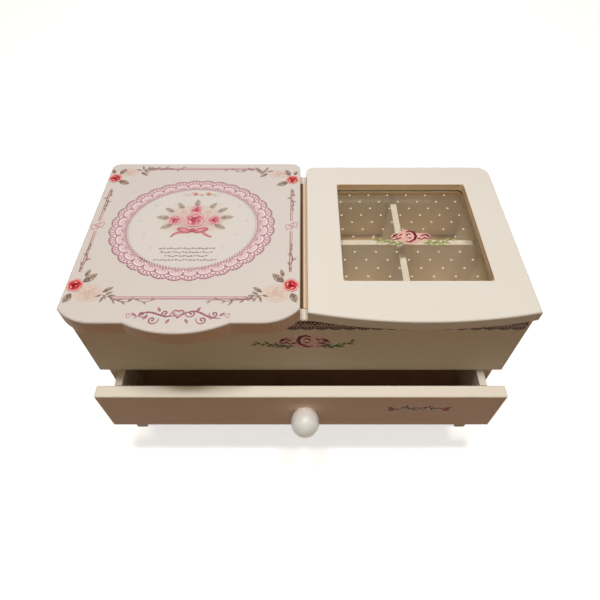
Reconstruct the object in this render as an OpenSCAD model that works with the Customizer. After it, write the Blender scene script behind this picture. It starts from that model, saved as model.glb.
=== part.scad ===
/* [Case] */
// Width over the two lids
box_w = 286.4; // [260:0.1:320]
// How far each lid stands out past the case's side
lid_overhang = 1.5; // [0:0.1:4]
// Depth of the case over its front and back panels
case_d = 139; // [134:0.5:160]
// Thickness of the case's boards
board = 9; // [8:0.5:10]
// Height of the front panel, from its lower edge to the rim
panel_h = 60.6; // [60:0.1:70]
// Height of the skirt with its bracket feet
skirt_h = 47.8; // [36:0.1:60]
// Gap above and below the drawer front
reveal = 1.3; // [0.8:0.1:2]
// Radius of the eased edges on the painted boards
ease = 1.2; // [0.6:0.1:2]
// Thickness of the compartment floor
floor_t = 4; // [3:0.5:4]
// Height of the compartment floor above the front panel's lower edge
floor_lift = 0.6; // [0.2:0.1:1.2]
// Thickness of the board under the drawer
base_t = 6; // [4:0.5:9]
// Middle of the partition and of the gap between the lids, from the middle of the box
partition_x = 1.9; // [-4:0.1:6]

/* [Skirt and feet] */
// Width of a foot where it meets the floor
foot_w = 9.2; // [7:0.1:16]
// Height of the straight slanted side of a foot
foot_rise = 14; // [8:0.5:18]
// How far that side leans inwards
foot_lean = 5.5; // [2:0.5:10]
// Radius of the bracket between foot and apron
bracket_r = 11; // [6:0.5:14]
// How far a foot's outer side draws in at the floor
foot_tuck = 1.4; // [0.5:0.1:3]

/* [Lids] */
// Thickness of the glazed right lid
right_lid_t = 9; // [8:0.5:12]
// Thickness of the left lid
left_lid_t = 12; // [9:0.5:15]
// Gap between the two lids
lid_gap = 4.4; // [2:0.1:6]
// Depth of the right lid at its corners
right_lid_d = 139.8; // [134:0.1:162]
// Bulge of the right lid's front edge
right_bulge = 7.1; // [2:0.1:12]
// Depth of the left lid at its corners
left_lid_d = 139.3; // [134:0.1:162]
// Depth from the left lid's corners to its straight shoulders
shoulder_d = 10.3; // [4:0.1:14]
// Half width of the straight shoulders
shoulder_half = 49; // [42:0.5:56]
// Half width of the lobe in the middle
lobe_half = 31; // [20:0.5:38]
// How far the lobe stands out past the shoulders
lobe_d = 7.4; // [3:0.1:12]
// Radius of the lids' back corners
lid_corner_r = 6; // [3:0.5:9]
// Radius of the right lid's outer back corner
outer_corner_r = 9; // [5:0.5:12]
// Side of the square window
window = 94; // [80:1:98]
// Distance from the window to the lid's back edge
window_back = 21.6; // [18:0.1:28]
// Radius of the window's corners
window_r = 3; // [1:0.5:6]
// Width of the rebate that holds the pane
rebate_w = 4; // [3:0.5:6]
// Thickness of the glass pane
pane_t = 2; // [1.5:0.5:3]
// Thickness of the bead below the pane
bead_t = 2; // [1.5:0.5:2.5]
// Width of the mirror under the left lid
mirror_w = 110; // [90:1:116]
// Depth of the mirror
mirror_d = 96; // [80:1:100]
// Thickness of the mirror
mirror_t = 2; // [1:0.25:2.25]

/* [Hinges] */
// Length of each hinge
hinge_l = 24; // [18:1:32]
// Width of a hinge leaf
leaf_w = 7; // [5:0.5:8]
// Thickness of a hinge leaf
leaf_t = 0.9; // [0.6:0.1:1.2]
// Outer radius of the knuckles
knuckle_r = 2; // [1.7:0.1:2.4]
// Radius of the hinge pins
pin_r = 0.8; // [0.6:0.05:1]
// Distance from a hinge's middle to the end of its lid
hinge_inset = 28; // [20:1:44]
// Radius of the small wood screws
screw_r = 0.9; // [0.7:0.05:1.1]
// Length of the small wood screws
screw_l = 6; // [4:0.5:7]

/* [Drawer] */
// Height of the drawer front
drawer_front_h = 46; // [36:0.5:60]
// How far each end of the drawer front stops inside the case's side
front_inset = 0.2; // [0:0.1:3]
// Space between the drawer box and each side of the case
drawer_side_gap = 3.6; // [1:0.1:5]
// Thickness of the drawer's sides and back
drawer_side_t = 5; // [4:0.5:8]
// Thickness of the drawer's bottom
drawer_bottom_t = 3; // [2:0.5:5]
// Depth of the groove that holds the drawer's bottom
groove_d = 2; // [1:0.5:3]
// Space behind the closed drawer
drawer_back_gap = 3; // [1:0.5:8]
// How far the drawer stands open at rest
drawer_rest = 20; // [0:1:60]
// Radius of the knob's ball
knob_r = 10.1; // [7:0.1:14]
// How far the knob stands out
knob_reach = 19; // [18:0.5:28]
// How far the knob sits to the right of the drawer's middle
knob_x = 3; // [-6:0.5:6]

/* [Compartments] */
// Thickness of the dividers
divider_t = 4.5; // [3:0.5:6]
// How far the dividers stop below the rim
divider_drop = 11.5; // [8:0.5:30]
// Distance of the long divider behind the compartment's middle
divider_back = 8; // [0:1:20]
// Distance of the cross divider right of the compartment's middle
divider_right = 2.25; // [0:0.25:10]
// Thickness of the linings
lining_t = 0.8; // [0.4:0.1:1.5]
// Height of the deck above the compartment floor
deck_h = 31; // [30.8:0.1:31.2]
// Thickness of the deck and of its riser
deck_t = 2.6; // [2:0.1:2.7]
// Depth of the deck
deck_d = 78; // [72:1:84]
// Width of the square cleats under the deck
cleat = 5; // [4:0.5:6]

/* [Musical movement] */
// Distance from the cylinder's axis to the back panel
spindle_back = 45; // [44.5:0.5:50]
// Height of the winding arbor above the compartment floor
arbor_h = 14.4; // [14:0.1:14.5]
// Gear module
gear_m = 0.6; // [0.58:0.01:0.61]
// Teeth of the crown wheel
crown_teeth = 36; // [36]
// Teeth of the cylinder wheel
cylinder_teeth = 24; // [24]
// Teeth of the idler's pinion
idler_teeth = 12; // [12]
// Width of the crown wheel's toothed ring
crown_ring = 2.2; // [1.6:0.1:2.6]
// Thickness of the crown wheel's disc
crown_t = 1.4; // [1:0.1:2]
// Radius of the spring housing
housing_r = 11.2; // [9:0.1:11.4]
// Depth of the spring housing
housing_d = 9; // [6:0.5:12]
// Radius of the winding arbor
arbor_r = 1.5; // [1.2:0.1:2]
// Thickness of the bedplate
bed_t = 1.5; // [1:0.1:2.5]
// Radius of the pinned cylinder
drum_r = 5.5; // [4.5:0.1:5.6]
// Length of the pinned cylinder
drum_l = 19; // [18.8:0.1:19.6]
// Height of a pin on the cylinder
drum_pin = 0.45; // [0.3:0.05:0.5]
// Number of comb teeth
comb_teeth = 18; // [12:1:18]
// Length of the comb teeth
tooth_l = 8.8; // [7:0.1:10]
// Thickness of the comb
comb_t = 1; // [0.6:0.1:1.4]
// Radius of the cylinder's arbor, which is the figure's spindle
spindle_r = 1; // [0.8:0.05:1.2]
// Radius of the governor's worm
worm_r = 1.8; // [1.6:0.1:1.9]
// Teeth of the wheel that turns the worm
worm_wheel_teeth = 16; // [16]
// Module of the worm and its wheel
worm_m = 0.5; // [0.48:0.01:0.5]
// Radius of the fly
fly_r = 4.8; // [3.5:0.1:5]
// Width of the key's wings
key_w = 22; // [16:1:28]
// Height of the key's wings
key_wing_h = 14; // [8:1:16]
// Length of the key's round shank behind the case
key_shank = 7; // [6:0.5:14]
// Travel of the stop wire
stop_travel = 3.5; // [2:0.5:5]

/* [Figure] */
// Height of the figure above its fold pin
figure_h = 42; // [38:0.5:42.5]
// Radius of the tutu
tutu_r = 10.8; // [8:0.1:11]
// Height of the fold pin above the deck
fold_h = 11.6; // [11.4:0.1:11.8]
// Radius of the fold pin
fold_pin_r = 0.6; // [0.5:0.05:0.8]

/* [Fits] */
// Radial clearance of a shaft that turns in its hole
run_fit = 0.05; // [0.02:0.01:0.1]
// Gap between a moving face and the face beside it
side_gap = 0.3; // [0.2:0.05:0.5]

/* [Hidden] */
$fn = 48;

ivory = "antiquewhite";
steel = "silver";
brass = "goldenrod";
cut = 0.01;

// Heights
z_drawer_front = skirt_h + reveal;
z_drawer_top = z_drawer_front + drawer_front_h;
z_panel = z_drawer_top + reveal;
z_rim = z_panel + panel_h;
z_floor = z_panel + floor_lift;
z_well = z_floor + floor_t;
drawer_box_lift = 1;
z_drawer_box = z_drawer_front + drawer_box_lift;
z_base_top = z_drawer_box - side_gap;
z_deck = z_well + deck_h;

// Depths: the origin is midway between the knob's face and the key's end
key_reach = key_shank + key_wing_h;
front_reach = drawer_rest + knob_reach;
y_front = (front_reach - key_reach - case_d) / 2;
y_back = y_front + case_d;
y_in_front = y_front + board;
y_in_back = y_back - board;
in_d = y_in_back - y_in_front;

// Widths
case_w = box_w - 2 * lid_overhang;
x_in = case_w / 2 - board;
x_part_left = partition_x - board / 2;
x_part_right = partition_x + board / 2;
left_w = x_in + x_part_left;
right_w = x_in - x_part_right;
x_left_mid = (x_part_left - x_in) / 2;
x_divider = (x_part_right + x_in) / 2 + divider_right;
x_left_lid = -box_w / 2;
left_lid_w = box_w / 2 + partition_x - lid_gap / 2;
x_right_lid = partition_x + lid_gap / 2;
right_lid_w = box_w / 2 - x_right_lid;

// Hinge line, just behind the back panel at the rim
y_hinge = y_back + knuckle_r + side_gap;
hinge_left = [x_left_lid + hinge_inset, x_left_lid + left_lid_w - hinge_inset];
hinge_right = [x_right_lid + hinge_inset, x_right_lid + right_lid_w - hinge_inset];
knuckle_l = hinge_l / 3;
screw_head_r = 2 * screw_r;

// Drawer box
drawer_w = 2 * (x_in - drawer_side_gap);
drawer_front_w = case_w - 2 * front_inset;
y_drawer_face = y_front - drawer_rest;
y_drawer_box = y_drawer_face + board;
drawer_d = in_d - drawer_back_gap;
drawer_side_h = z_drawer_top - z_drawer_box;
z_drawer_bottom = z_drawer_box + 3;
z_knob = z_drawer_front + drawer_front_h / 2;
knob_long = 1.09;
knob_foot_r = 0.7;
knob_screw_r = 2;
knob_screw_head = 4;
knob_screw_grip = 12;

// Movement: the cylinder's axis is at x_spin, y_spin
x_spin = x_left_mid;
y_spin = y_in_back - spindle_back;
z_arbor = z_well + arbor_h;
crown_r = crown_teeth * gear_m / 2;
wheel_r = cylinder_teeth * gear_m / 2;
pinion_r = idler_teeth * gear_m / 2;
z_mesh = z_arbor + crown_r;
wheel_t = 2.2;
y_crown_face = y_spin + wheel_r + 1.25 * gear_m;
y_housing = y_crown_face + crown_t + side_gap;
y_bed = y_housing + housing_d;
z_arm_low = z_well + 1.2;
arm_t = 1.2;
z_drum = z_arm_low + arm_t + side_gap;
z_wheel = z_mesh - wheel_t / 2;
z_arm_high = z_wheel + wheel_t + side_gap;
comb_pitch = (drum_l - 1) / 18;
comb_h = comb_pitch * comb_teeth + 1;
z_comb = z_drum + (drum_l - comb_h) / 2;
comb_base = 11;
x_comb_tip = x_spin - drum_r - drum_pin - 0.15;
x_comb_root = x_comb_tip - tooth_l;
x_idler = x_spin + wheel_r + pinion_r;
worm_wheel_r = worm_wheel_teeth * worm_m / 2;
x_worm = x_idler + worm_wheel_r + worm_r;
z_worm = z_drum + drum_l * 0.55;
x_frame = x_worm + fly_r + 0.6;
y_lug = 6.4;
bed_left = x_comb_root - comb_base - 1.5;
bed_right = x_frame + 5;
z_bed = z_arm_low;
bed_h = z_arm_high + arm_t - z_bed;
arm_w = 8;
fly_y = y_spin - y_lug - 3.2;
stop_x = x_spin + left_w / 2 - 10;
stop_y = y_in_back - 7;
stop_r = 0.7;

// Figure: drawn standing on its fold pin, and laid forward at rest. Its pin's height and its
// tutu are for a folding room of figure_room, and follow the room that deck and mirror leave
figure_room = 23;
room_k = (z_rim - mirror_t - z_deck) / figure_room;
z_fold = z_deck + fold_h * room_k;
bell_r = tutu_r * room_k;
fork_gap = 1.2;
fork_t = 0.8;
waist = figure_h * 0.52;
figure_k = figure_h / 42;

// Points on an arc round centre c
function arc(c, r, a0, a1, n) =
    [for (i = [0:n]) c + r * [cos(a0 + (a1 - a0) * i / n), sin(a0 + (a1 - a0) * i / n)]];

// Radius of an arc with half chord h and rise s
function bow_r(h, s) = (h * h + s * s) / (2 * s);

// Rectangle with rounded corners, from the origin
function round_rect(w, h, r, n = 4) = concat(
    arc([r, r], r, 180, 270, n), arc([w - r, r], r, 270, 360, n),
    arc([w - r, h - r], r, 0, 90, n), arc([r, h - r], r, 90, 180, n));

// Board with every edge eased
module eased_board(size, r = ease) {
    intersection() {
        linear_extrude(size.z) polygon(round_rect(size.x, size.y, r));
        translate([0, size.y, 0]) rotate([90, 0, 0])
            linear_extrude(size.y) polygon(round_rect(size.x, size.z, r));
        rotate([90, 0, 90]) linear_extrude(size.x) polygon(round_rect(size.y, size.z, r));
    }
}

// Convex plate whose upper and lower edges are rounded over
module eased_plate(points, t, r = ease) {
    hull() {
        for (a = [0, 30, 60, 90]) {
            z = r * (1 - cos(a));
            translate([0, 0, r * (1 - sin(a))])
                linear_extrude(t - 2 * r * (1 - sin(a))) offset(delta = -z) polygon(points);
        }
    }
}

// Countersunk wood screw along -Z, its head's face at the origin
module wood_screw(l = screw_l) {
    difference() {
        screw_shape(l);
        for (a = [0, 90]) {
            rotate([0, 0, a]) translate([-screw_r, -0.2, -0.5]) cube([2 * screw_r, 0.4, 1]);
        }
    }
}

// Outline of that screw, used for the screw and for its hole
module screw_shape(l = screw_l) {
    translate([0, 0, -l]) cylinder(r = screw_r, h = l);
    translate([0, 0, -screw_r]) cylinder(r1 = screw_r, r2 = screw_head_r, h = screw_r);
}

// Round rod between two points
module rod(p, q, r1, r2) {
    d = q - p;
    translate(p) rotate([0, acos(d.z / norm(d)), atan2(d.y, d.x)])
        cylinder(r1 = r1, r2 = r2, h = norm(d));
}

// ---- Case ----

// Side board, standing between the front and back panels
module side_board(x) {
    translate([x, y_in_front, skirt_h]) cube([board, in_d, z_rim - skirt_h]);
}

module side_left() { color(ivory) side_board(-case_w / 2); }

module side_right() { color(ivory) side_board(x_in); }

module back_panel() {
    color(ivory) difference() {
        translate([-case_w / 2, y_in_back, skirt_h]) eased_board([case_w, board, z_rim - skirt_h]);
        translate([x_spin, y_in_back - 1, z_arbor]) rotate([-90, 0, 0])
            cylinder(r = arbor_r + 2, h = board + 2);
        case_leaf_seats();
    }
}

module front_panel() {
    color(ivory) translate([-case_w / 2, y_front, z_panel]) eased_board([case_w, board, panel_h]);
}

// Skirt board of length l, drawn in X and Z, with a bracket foot at each end
module skirt_profile(l, tuck) {
    foot = foot_w + foot_lean;
    left = concat(
        [[0, skirt_h], [0, foot_rise], [tuck, 0], [foot_w, 0]],
        arc([foot + bracket_r, foot_rise], bracket_r, 180, 90, 8));
    right = [for (i = [len(left) - 1:-1:0]) [l - left[i].x, left[i].y]];
    polygon(concat(left, right));
}

module skirt_board(l, tuck) {
    rotate([90, 0, 0]) translate([-l / 2, 0, -board]) linear_extrude(board) skirt_profile(l, tuck);
}

module skirt_front() { color(ivory) translate([0, y_front, 0]) skirt_board(case_w, foot_tuck); }

module skirt_back() { color(ivory) translate([0, y_in_back, 0]) skirt_board(case_w, foot_tuck); }

// Skirt board between the front and back ones
module side_skirt(x) {
    translate([x, y_in_front + in_d / 2, 0]) rotate([0, 0, 90]) translate([0, -board, 0])
        skirt_board(in_d, 0);
}

module skirt_left() { color(ivory) side_skirt(-case_w / 2); }

module skirt_right() { color(ivory) side_skirt(x_in); }

module base_board() {
    color("burlywood") translate([-x_in, y_in_front, z_base_top - base_t])
        cube([2 * x_in, in_d, base_t]);
}

module well_floor() {
    color("burlywood") translate([-x_in, y_in_front, z_floor]) cube([2 * x_in, in_d, floor_t]);
}

module partition() {
    color(ivory) translate([x_part_left, y_in_front, z_well]) cube([board, in_d, z_rim - z_well]);
}

// ---- Right compartment ----

divider_h = z_rim - divider_drop - z_well - lining_t;
y_divider = y_in_front + in_d / 2 + divider_back;

module divider_long() {
    color(ivory) difference() {
        translate([x_part_right, y_divider - divider_t / 2, z_well + lining_t])
            cube([right_w, divider_t, divider_h]);
        translate([x_divider - divider_t / 2, y_divider - board, z_well + lining_t + divider_h / 2])
            cube([divider_t, 2 * board, divider_h]);
    }
}

module divider_cross() {
    color(ivory) difference() {
        translate([x_divider - divider_t / 2, y_in_front, z_well + lining_t])
            cube([divider_t, in_d, divider_h]);
        translate([x_divider - board, y_divider - divider_t / 2, z_well])
            cube([2 * board, divider_t, lining_t + divider_h / 2]);
    }
}

module cell_lining() {
    color("tan") translate([x_part_right, y_in_front, z_well]) cube([right_w, in_d, lining_t]);
}

// ---- Left compartment ----

tray_d = in_d - deck_d;

module tray_lining() {
    color("tan") translate([-x_in, y_in_front, z_well]) cube([left_w, tray_d, lining_t]);
}

module deck() {
    color("tan") difference() {
        translate([-x_in, y_in_back - deck_d, z_deck - deck_t]) cube([left_w, deck_d, deck_t]);
        translate([x_spin, y_spin, z_deck - 2 * deck_t]) cylinder(r = spindle_r + 1, h = 3 * deck_t);
        translate([stop_x, stop_y, z_deck - 2 * deck_t]) cylinder(r = stop_r + side_gap, h = 3 * deck_t);
    }
}

module deck_riser() {
    color("tan") translate([-x_in, y_in_back - deck_d, z_well])
        cube([left_w, deck_t, deck_h - deck_t]);
}

module deck_cleats() {
    color("burlywood") {
        for (x = [-x_in, x_part_left - cleat]) {
            translate([x, y_in_back - deck_d + deck_t, z_deck - deck_t - cleat])
                cube([cleat, deck_d - deck_t, cleat]);
        }
    }
}

// ---- Lids ----

// Left lid without its lobe, back edge on y = 0 and front towards -Y
function left_outline() =
    let (h = left_lid_w / 2, d = left_lid_d, run = h - shoulder_half,
         r = bow_r(run, shoulder_d), a = asin(run / r), y = -d - shoulder_d + r)
    concat(arc([-shoulder_half, y], r, 270 - a, 270, 8), arc([shoulder_half, y], r, 270, 270 + a, 8),
           arc([h - lid_corner_r, -lid_corner_r], lid_corner_r, 0, 90, 6),
           arc([lid_corner_r - h, -lid_corner_r], lid_corner_r, 90, 180, 6));

// Lobe, from well inside the lid
function lobe_outline() =
    let (r = bow_r(lobe_half, lobe_d), a = asin(lobe_half / r), y = -left_lid_d - shoulder_d - lobe_d + r)
    concat(arc([0, y], r, 270 - a, 270 + a, 20),
           [[lobe_half, -left_lid_d / 2], [-lobe_half, -left_lid_d / 2]]);

module left_lid() {
    color(ivory) difference() {
        translate([x_left_lid + left_lid_w / 2, y_back, z_rim]) {
            eased_plate(left_outline(), left_lid_t);
            eased_plate(lobe_outline(), left_lid_t);
        }
        for (x = hinge_left) lid_leaf_seat(x);
        mirror_clip_places() screw_shape();
    }
}

// Right lid's outline: bowed front, with its outer back corner the rounder one
function right_outline() =
    let (h = right_lid_w / 2, r = bow_r(h, right_bulge), a = asin(h / r),
         y = -right_lid_d - right_bulge + r)
    concat(arc([0, y], r, 270 - a, 270 + a, 24),
           arc([h - outer_corner_r, -outer_corner_r], outer_corner_r, 0, 90, 6),
           arc([lid_corner_r - h, -lid_corner_r], lid_corner_r, 90, 180, 6));

x_window = x_right_lid + (right_lid_w - window) / 2;
y_window = y_back - window_back - window;
rebate_h = pane_t + bead_t;

module right_lid() {
    color(ivory) difference() {
        translate([x_right_lid + right_lid_w / 2, y_back, z_rim])
            eased_plate(right_outline(), right_lid_t);
        translate([x_window, y_window, z_rim - 1])
            linear_extrude(right_lid_t + 2) polygon(round_rect(window, window, window_r));
        translate([x_window - rebate_w, y_window - rebate_w, z_rim - 1])
            cube([window + 2 * rebate_w, window + 2 * rebate_w, rebate_h + 1]);
        for (x = hinge_right) lid_leaf_seat(x);
    }
}

pane_w = window + 2 * rebate_w;

module glass_pane() {
    color("lightcyan", 0.35) translate([x_window - rebate_w, y_window - rebate_w, z_rim + bead_t])
        cube([pane_w, pane_w, pane_t]);
}

module glazing_bead() {
    color(ivory) difference() {
        translate([x_window - rebate_w, y_window - rebate_w, z_rim]) cube([pane_w, pane_w, bead_t]);
        translate([x_window, y_window, z_rim - 1])
            linear_extrude(bead_t + 2) polygon(round_rect(window, window, window_r));
    }
}

mirror_clip_l = 7;
clip_t = 0.8;

module mirror() {
    color("lightsteelblue") translate([x_left_mid - mirror_w / 2, y_in_front + (in_d - mirror_d) / 2,
                                       z_rim - mirror_t]) cube([mirror_w, mirror_d, mirror_t]);
}

// Middle of each clip, just outside the mirror's short edges
module mirror_clip_places() {
    for (x = [-1, 1], y = [-1, 1]) {
        translate([x_left_mid + x * (mirror_w / 2 + mirror_clip_l / 4),
                   y_in_front + in_d / 2 + y * mirror_d * 0.4, z_rim - mirror_t - clip_t])
            rotate([180, 0, x > 0 ? 0 : 180]) children();
    }
}

// Cranked clips with their screws, under the lid at the mirror's short edges
module mirror_clips() {
    color(steel) mirror_clip_places() {
        difference() {
            translate([-mirror_clip_l / 2, -2.5, -clip_t]) cube([mirror_clip_l, 5, clip_t]);
            screw_shape();
        }
        difference() {
            translate([-mirror_clip_l / 4, -2.5, -clip_t - mirror_t])
                cube([mirror_clip_l * 3 / 4, 5, mirror_t]);
            screw_shape();
        }
        wood_screw();
    }
}

// ---- Hinges ----

// Where a hinge's leaf lies: x is the hinge's middle
module leaf_block(x, z, extra = 0) {
    translate([x - hinge_l / 2 - extra, y_hinge - leaf_w - knuckle_r, z])
        cube([hinge_l + 2 * extra, leaf_w + knuckle_r, leaf_t]);
}

module lid_leaf_seat(x) {
    leaf_block(x, z_rim);
    leaf_screws(x) translate([0, 0, z_rim]) rotate([180, 0, 0]) screw_shape();
    knuckle_room(x);
}

module case_leaf_seats() {
    for (x = concat(hinge_left, hinge_right)) {
        leaf_block(x, z_rim - leaf_t);
        leaf_screws(x) translate([0, 0, z_rim]) screw_shape();
        knuckle_room(x);
    }
}

// Room for the knuckles where they pass the boards' back edges
module knuckle_room(x) {
    translate([x - hinge_l / 2 - side_gap, y_hinge, z_rim]) rotate([0, 90, 0])
        cylinder(r = knuckle_r + side_gap, h = hinge_l + 2 * side_gap);
}

// Screw places on a leaf
module leaf_screws(x) {
    for (side = [-1, 1]) {
        translate([x + side * hinge_l * 0.3, y_hinge - knuckle_r - leaf_w * 0.55, 0]) children();
    }
}

// Barrel of a hinge between two places along it, without its bore
module barrel(x0, x1, bore) {
    translate([x0, y_hinge, z_rim]) rotate([0, 90, 0]) difference() {
        cylinder(r = knuckle_r, h = x1 - x0);
        translate([0, 0, -1]) cylinder(r = bore, h = x1 - x0 + 2);
    }
}

module case_leaf(x) {
    difference() {
        leaf_block(x, z_rim - leaf_t);
        leaf_screws(x) translate([0, 0, z_rim]) screw_shape();
        knuckle_room(x);
    }
    for (x0 = [x - hinge_l / 2, x + hinge_l / 2 - knuckle_l]) {
        barrel(x0, x0 + knuckle_l, pin_r);
        leaf_root(x0, x0 + knuckle_l, z_rim - leaf_t, pin_r);
    }
}

module lid_leaf(x) {
    x0 = x - knuckle_l / 2 + side_gap;
    x1 = x + knuckle_l / 2 - side_gap;
    difference() {
        leaf_block(x, z_rim);
        leaf_screws(x) translate([0, 0, z_rim]) rotate([180, 0, 0]) screw_shape();
        knuckle_room(x);
    }
    barrel(x0, x1, pin_r + run_fit);
    leaf_root(x0, x1, z_rim, pin_r + run_fit);
}

// The stretch of a leaf that rolls into its knuckle
module leaf_root(x0, x1, z, bore) {
    difference() {
        translate([x0, y_hinge - knuckle_r - 1, z]) cube([x1 - x0, knuckle_r + 1, leaf_t]);
        translate([x0 - 1, y_hinge, z_rim]) rotate([0, 90, 0]) cylinder(r = bore, h = x1 - x0 + 2);
    }
}

module hinge_leaves_case() { color(brass) for (x = concat(hinge_left, hinge_right)) case_leaf(x); }

module hinge_leaves_left() { color(brass) for (x = hinge_left) lid_leaf(x); }

module hinge_leaves_right() { color(brass) for (x = hinge_right) lid_leaf(x); }

module hinge_pins() {
    color(steel) for (x = concat(hinge_left, hinge_right)) {
        translate([x - hinge_l / 2, y_hinge, z_rim]) rotate([0, 90, 0]) cylinder(r = pin_r, h = hinge_l);
    }
}

module hinge_screws_case() {
    color(brass) for (x = concat(hinge_left, hinge_right)) {
        leaf_screws(x) translate([0, 0, z_rim]) wood_screw();
    }
}

module lid_screws(places) {
    for (x = places) leaf_screws(x) translate([0, 0, z_rim]) rotate([180, 0, 0]) wood_screw();
}

module hinge_screws_left() { color(brass) lid_screws(hinge_left); }

module hinge_screws_right() { color(brass) lid_screws(hinge_right); }

// ---- Drawer ----

module drawer_front() {
    color(ivory) difference() {
        translate([-drawer_front_w / 2, y_drawer_face, z_drawer_front])
            eased_board([drawer_front_w, board, drawer_front_h]);
        translate([knob_x, y_drawer_face - 1, z_knob]) rotate([-90, 0, 0])
            cylinder(r = knob_screw_r + 0.2, h = board + 2);
        drawer_bottom_room();
    }
}

// The bottom with its grooves' depth all round
module drawer_bottom_room() {
    translate([-drawer_w / 2 + drawer_side_t - groove_d, y_drawer_box - groove_d, z_drawer_bottom])
        cube([drawer_w - 2 * (drawer_side_t - groove_d), drawer_d - drawer_side_t + 2 * groove_d,
              drawer_bottom_t]);
}

module drawer_sides() {
    color(ivory) difference() {
        for (x = [-drawer_w / 2, drawer_w / 2 - drawer_side_t]) {
            translate([x, y_drawer_box, z_drawer_box]) cube([drawer_side_t, drawer_d, drawer_side_h]);
        }
        drawer_bottom_room();
    }
}

module drawer_back() {
    color(ivory) difference() {
        translate([-drawer_w / 2 + drawer_side_t, y_drawer_box + drawer_d - drawer_side_t, z_drawer_box])
            cube([drawer_w - 2 * drawer_side_t, drawer_side_t, drawer_side_h]);
        drawer_bottom_room();
    }
}

module drawer_bottom() { color("burlywood") drawer_bottom_room(); }

module drawer_lining() {
    color("saddlebrown") difference() {
        translate([-drawer_w / 2 + drawer_side_t, y_drawer_box, z_drawer_bottom + drawer_bottom_t])
            cube([drawer_w - 2 * drawer_side_t, drawer_d - drawer_side_t, lining_t]);
    }
}

// Egg-shaped knob, turned about its own axis and cut flat where it meets the drawer
module knob() {
    half_l = knob_long * knob_r;
    middle = knob_reach - half_l;
    foot_a = -min(acos(knob_foot_r), asin(min(1, middle / half_l)));
    color("white") translate([knob_x, y_drawer_face, z_knob]) rotate([90, 0, 0]) difference() {
        rotate_extrude() polygon(concat(
            [[0, 0], [knob_r * cos(foot_a), 0]],
            [for (i = [0:14]) let (a = foot_a + (90 - foot_a) * i / 14)
                [knob_r * cos(a), middle + half_l * sin(a)]]));
        translate([0, 0, -1]) cylinder(r = knob_screw_r, h = knob_screw_grip + 1);
    }
}

// Pan-head screw through the drawer front into the knob
module knob_screw() {
    color(steel) translate([knob_x, y_drawer_box, z_knob]) rotate([90, 0, 0]) {
        cylinder(r = knob_screw_r, h = board + knob_screw_grip);
        difference() {
            translate([0, 0, -2.2]) cylinder(r1 = knob_screw_head * 0.8, r2 = knob_screw_head, h = 2.2);
            for (a = [0, 90]) {
                rotate([0, 0, a]) translate([-2.4, -0.5, -3]) cube([4.8, 1, 2]);
            }
        }
    }
}

// ---- Musical movement ----

// Flat gear: trapezoid teeth on a disc, one tooth centred on +X
module gear(teeth, m, t) {
    r = teeth * m / 2;
    linear_extrude(t) polygon([for (i = [0:teeth - 1], k = [0:3])
        let (a = 360 * (i + [-0.27, -0.1, 0.1, 0.27][k]) / teeth, q = r + m * [-1.15, 0.8, 0.8, -1.15][k])
        q * [cos(a), sin(a)]]);
}

module movement_block() {
    color("burlywood") difference() {
        translate([bed_left, y_bed + bed_t, z_well])
            cube([bed_right - bed_left, y_in_back - y_bed - bed_t, deck_h - deck_t]);
        translate([x_spin, y_bed, z_arbor]) rotate([-90, 0, 0])
            cylinder(r = arbor_r + 2, h = spindle_back);
        bed_screw_places() screw_shape();
    }
}

module bed_screw_places() {
    for (x = [bed_left + 3, bed_right - 3], z = [z_bed + 3, z_bed + bed_h - 3]) {
        translate([x, y_bed, z]) rotate([90, 0, 0]) children();
    }
}

// Cast bedplate: plate, comb rest and the two arms that carry the cylinder
module bedplate() {
    color(steel) difference() {
        union() {
            translate([bed_left, y_bed, z_bed]) cube([bed_right - bed_left, bed_t, bed_h]);
            translate([x_comb_root - comb_base, y_spin + comb_t, z_comb])
                cube([comb_base - 1, y_bed - y_spin - comb_t + cut, comb_h]);
            for (z = [z_arm_low, z_arm_high]) {
                translate([x_spin - arm_w / 2, y_spin - arm_w / 2, z])
                    cube([arm_w, y_bed - y_spin + arm_w / 2 + cut, arm_t]);
            }
        }
        translate([x_spin, y_spin, z_arm_low - 1]) cylinder(r = spindle_r + run_fit, h = bed_h + 2);
        translate([x_spin, y_bed - 1, z_arbor]) rotate([-90, 0, 0])
            cylinder(r = arbor_r + run_fit, h = bed_t + 2);
        bed_screw_places() screw_shape();
        comb_screw_places() cylinder(r = comb_screw_r, h = comb_screw_l);
    }
}

module bedplate_screws() { color(steel) bed_screw_places() wood_screw(); }

// Drum that holds the mainspring, fixed to the bedplate, with a ribbed rim
module spring_housing() {
    color(brass) translate([x_spin, y_bed, z_arbor]) rotate([90, 0, 0]) difference() {
        union() {
            cylinder(r = housing_r, h = housing_d);
            cylinder(r = housing_r + 0.15, h = 1);
        }
        translate([0, 0, -1]) cylinder(r = arbor_r + run_fit, h = housing_d + 2);
        translate([0, 0, 0.8]) cylinder(r = housing_r - 0.8, h = housing_d - 1.6);
    }
}

// Arbor from the crown wheel out through the back of the case
module winding_arbor() {
    color(steel) translate([x_spin, y_crown_face, z_arbor]) rotate([-90, 0, 0])
        cylinder(r = arbor_r, h = y_back + key_shank - 2 - y_crown_face);
}

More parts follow.
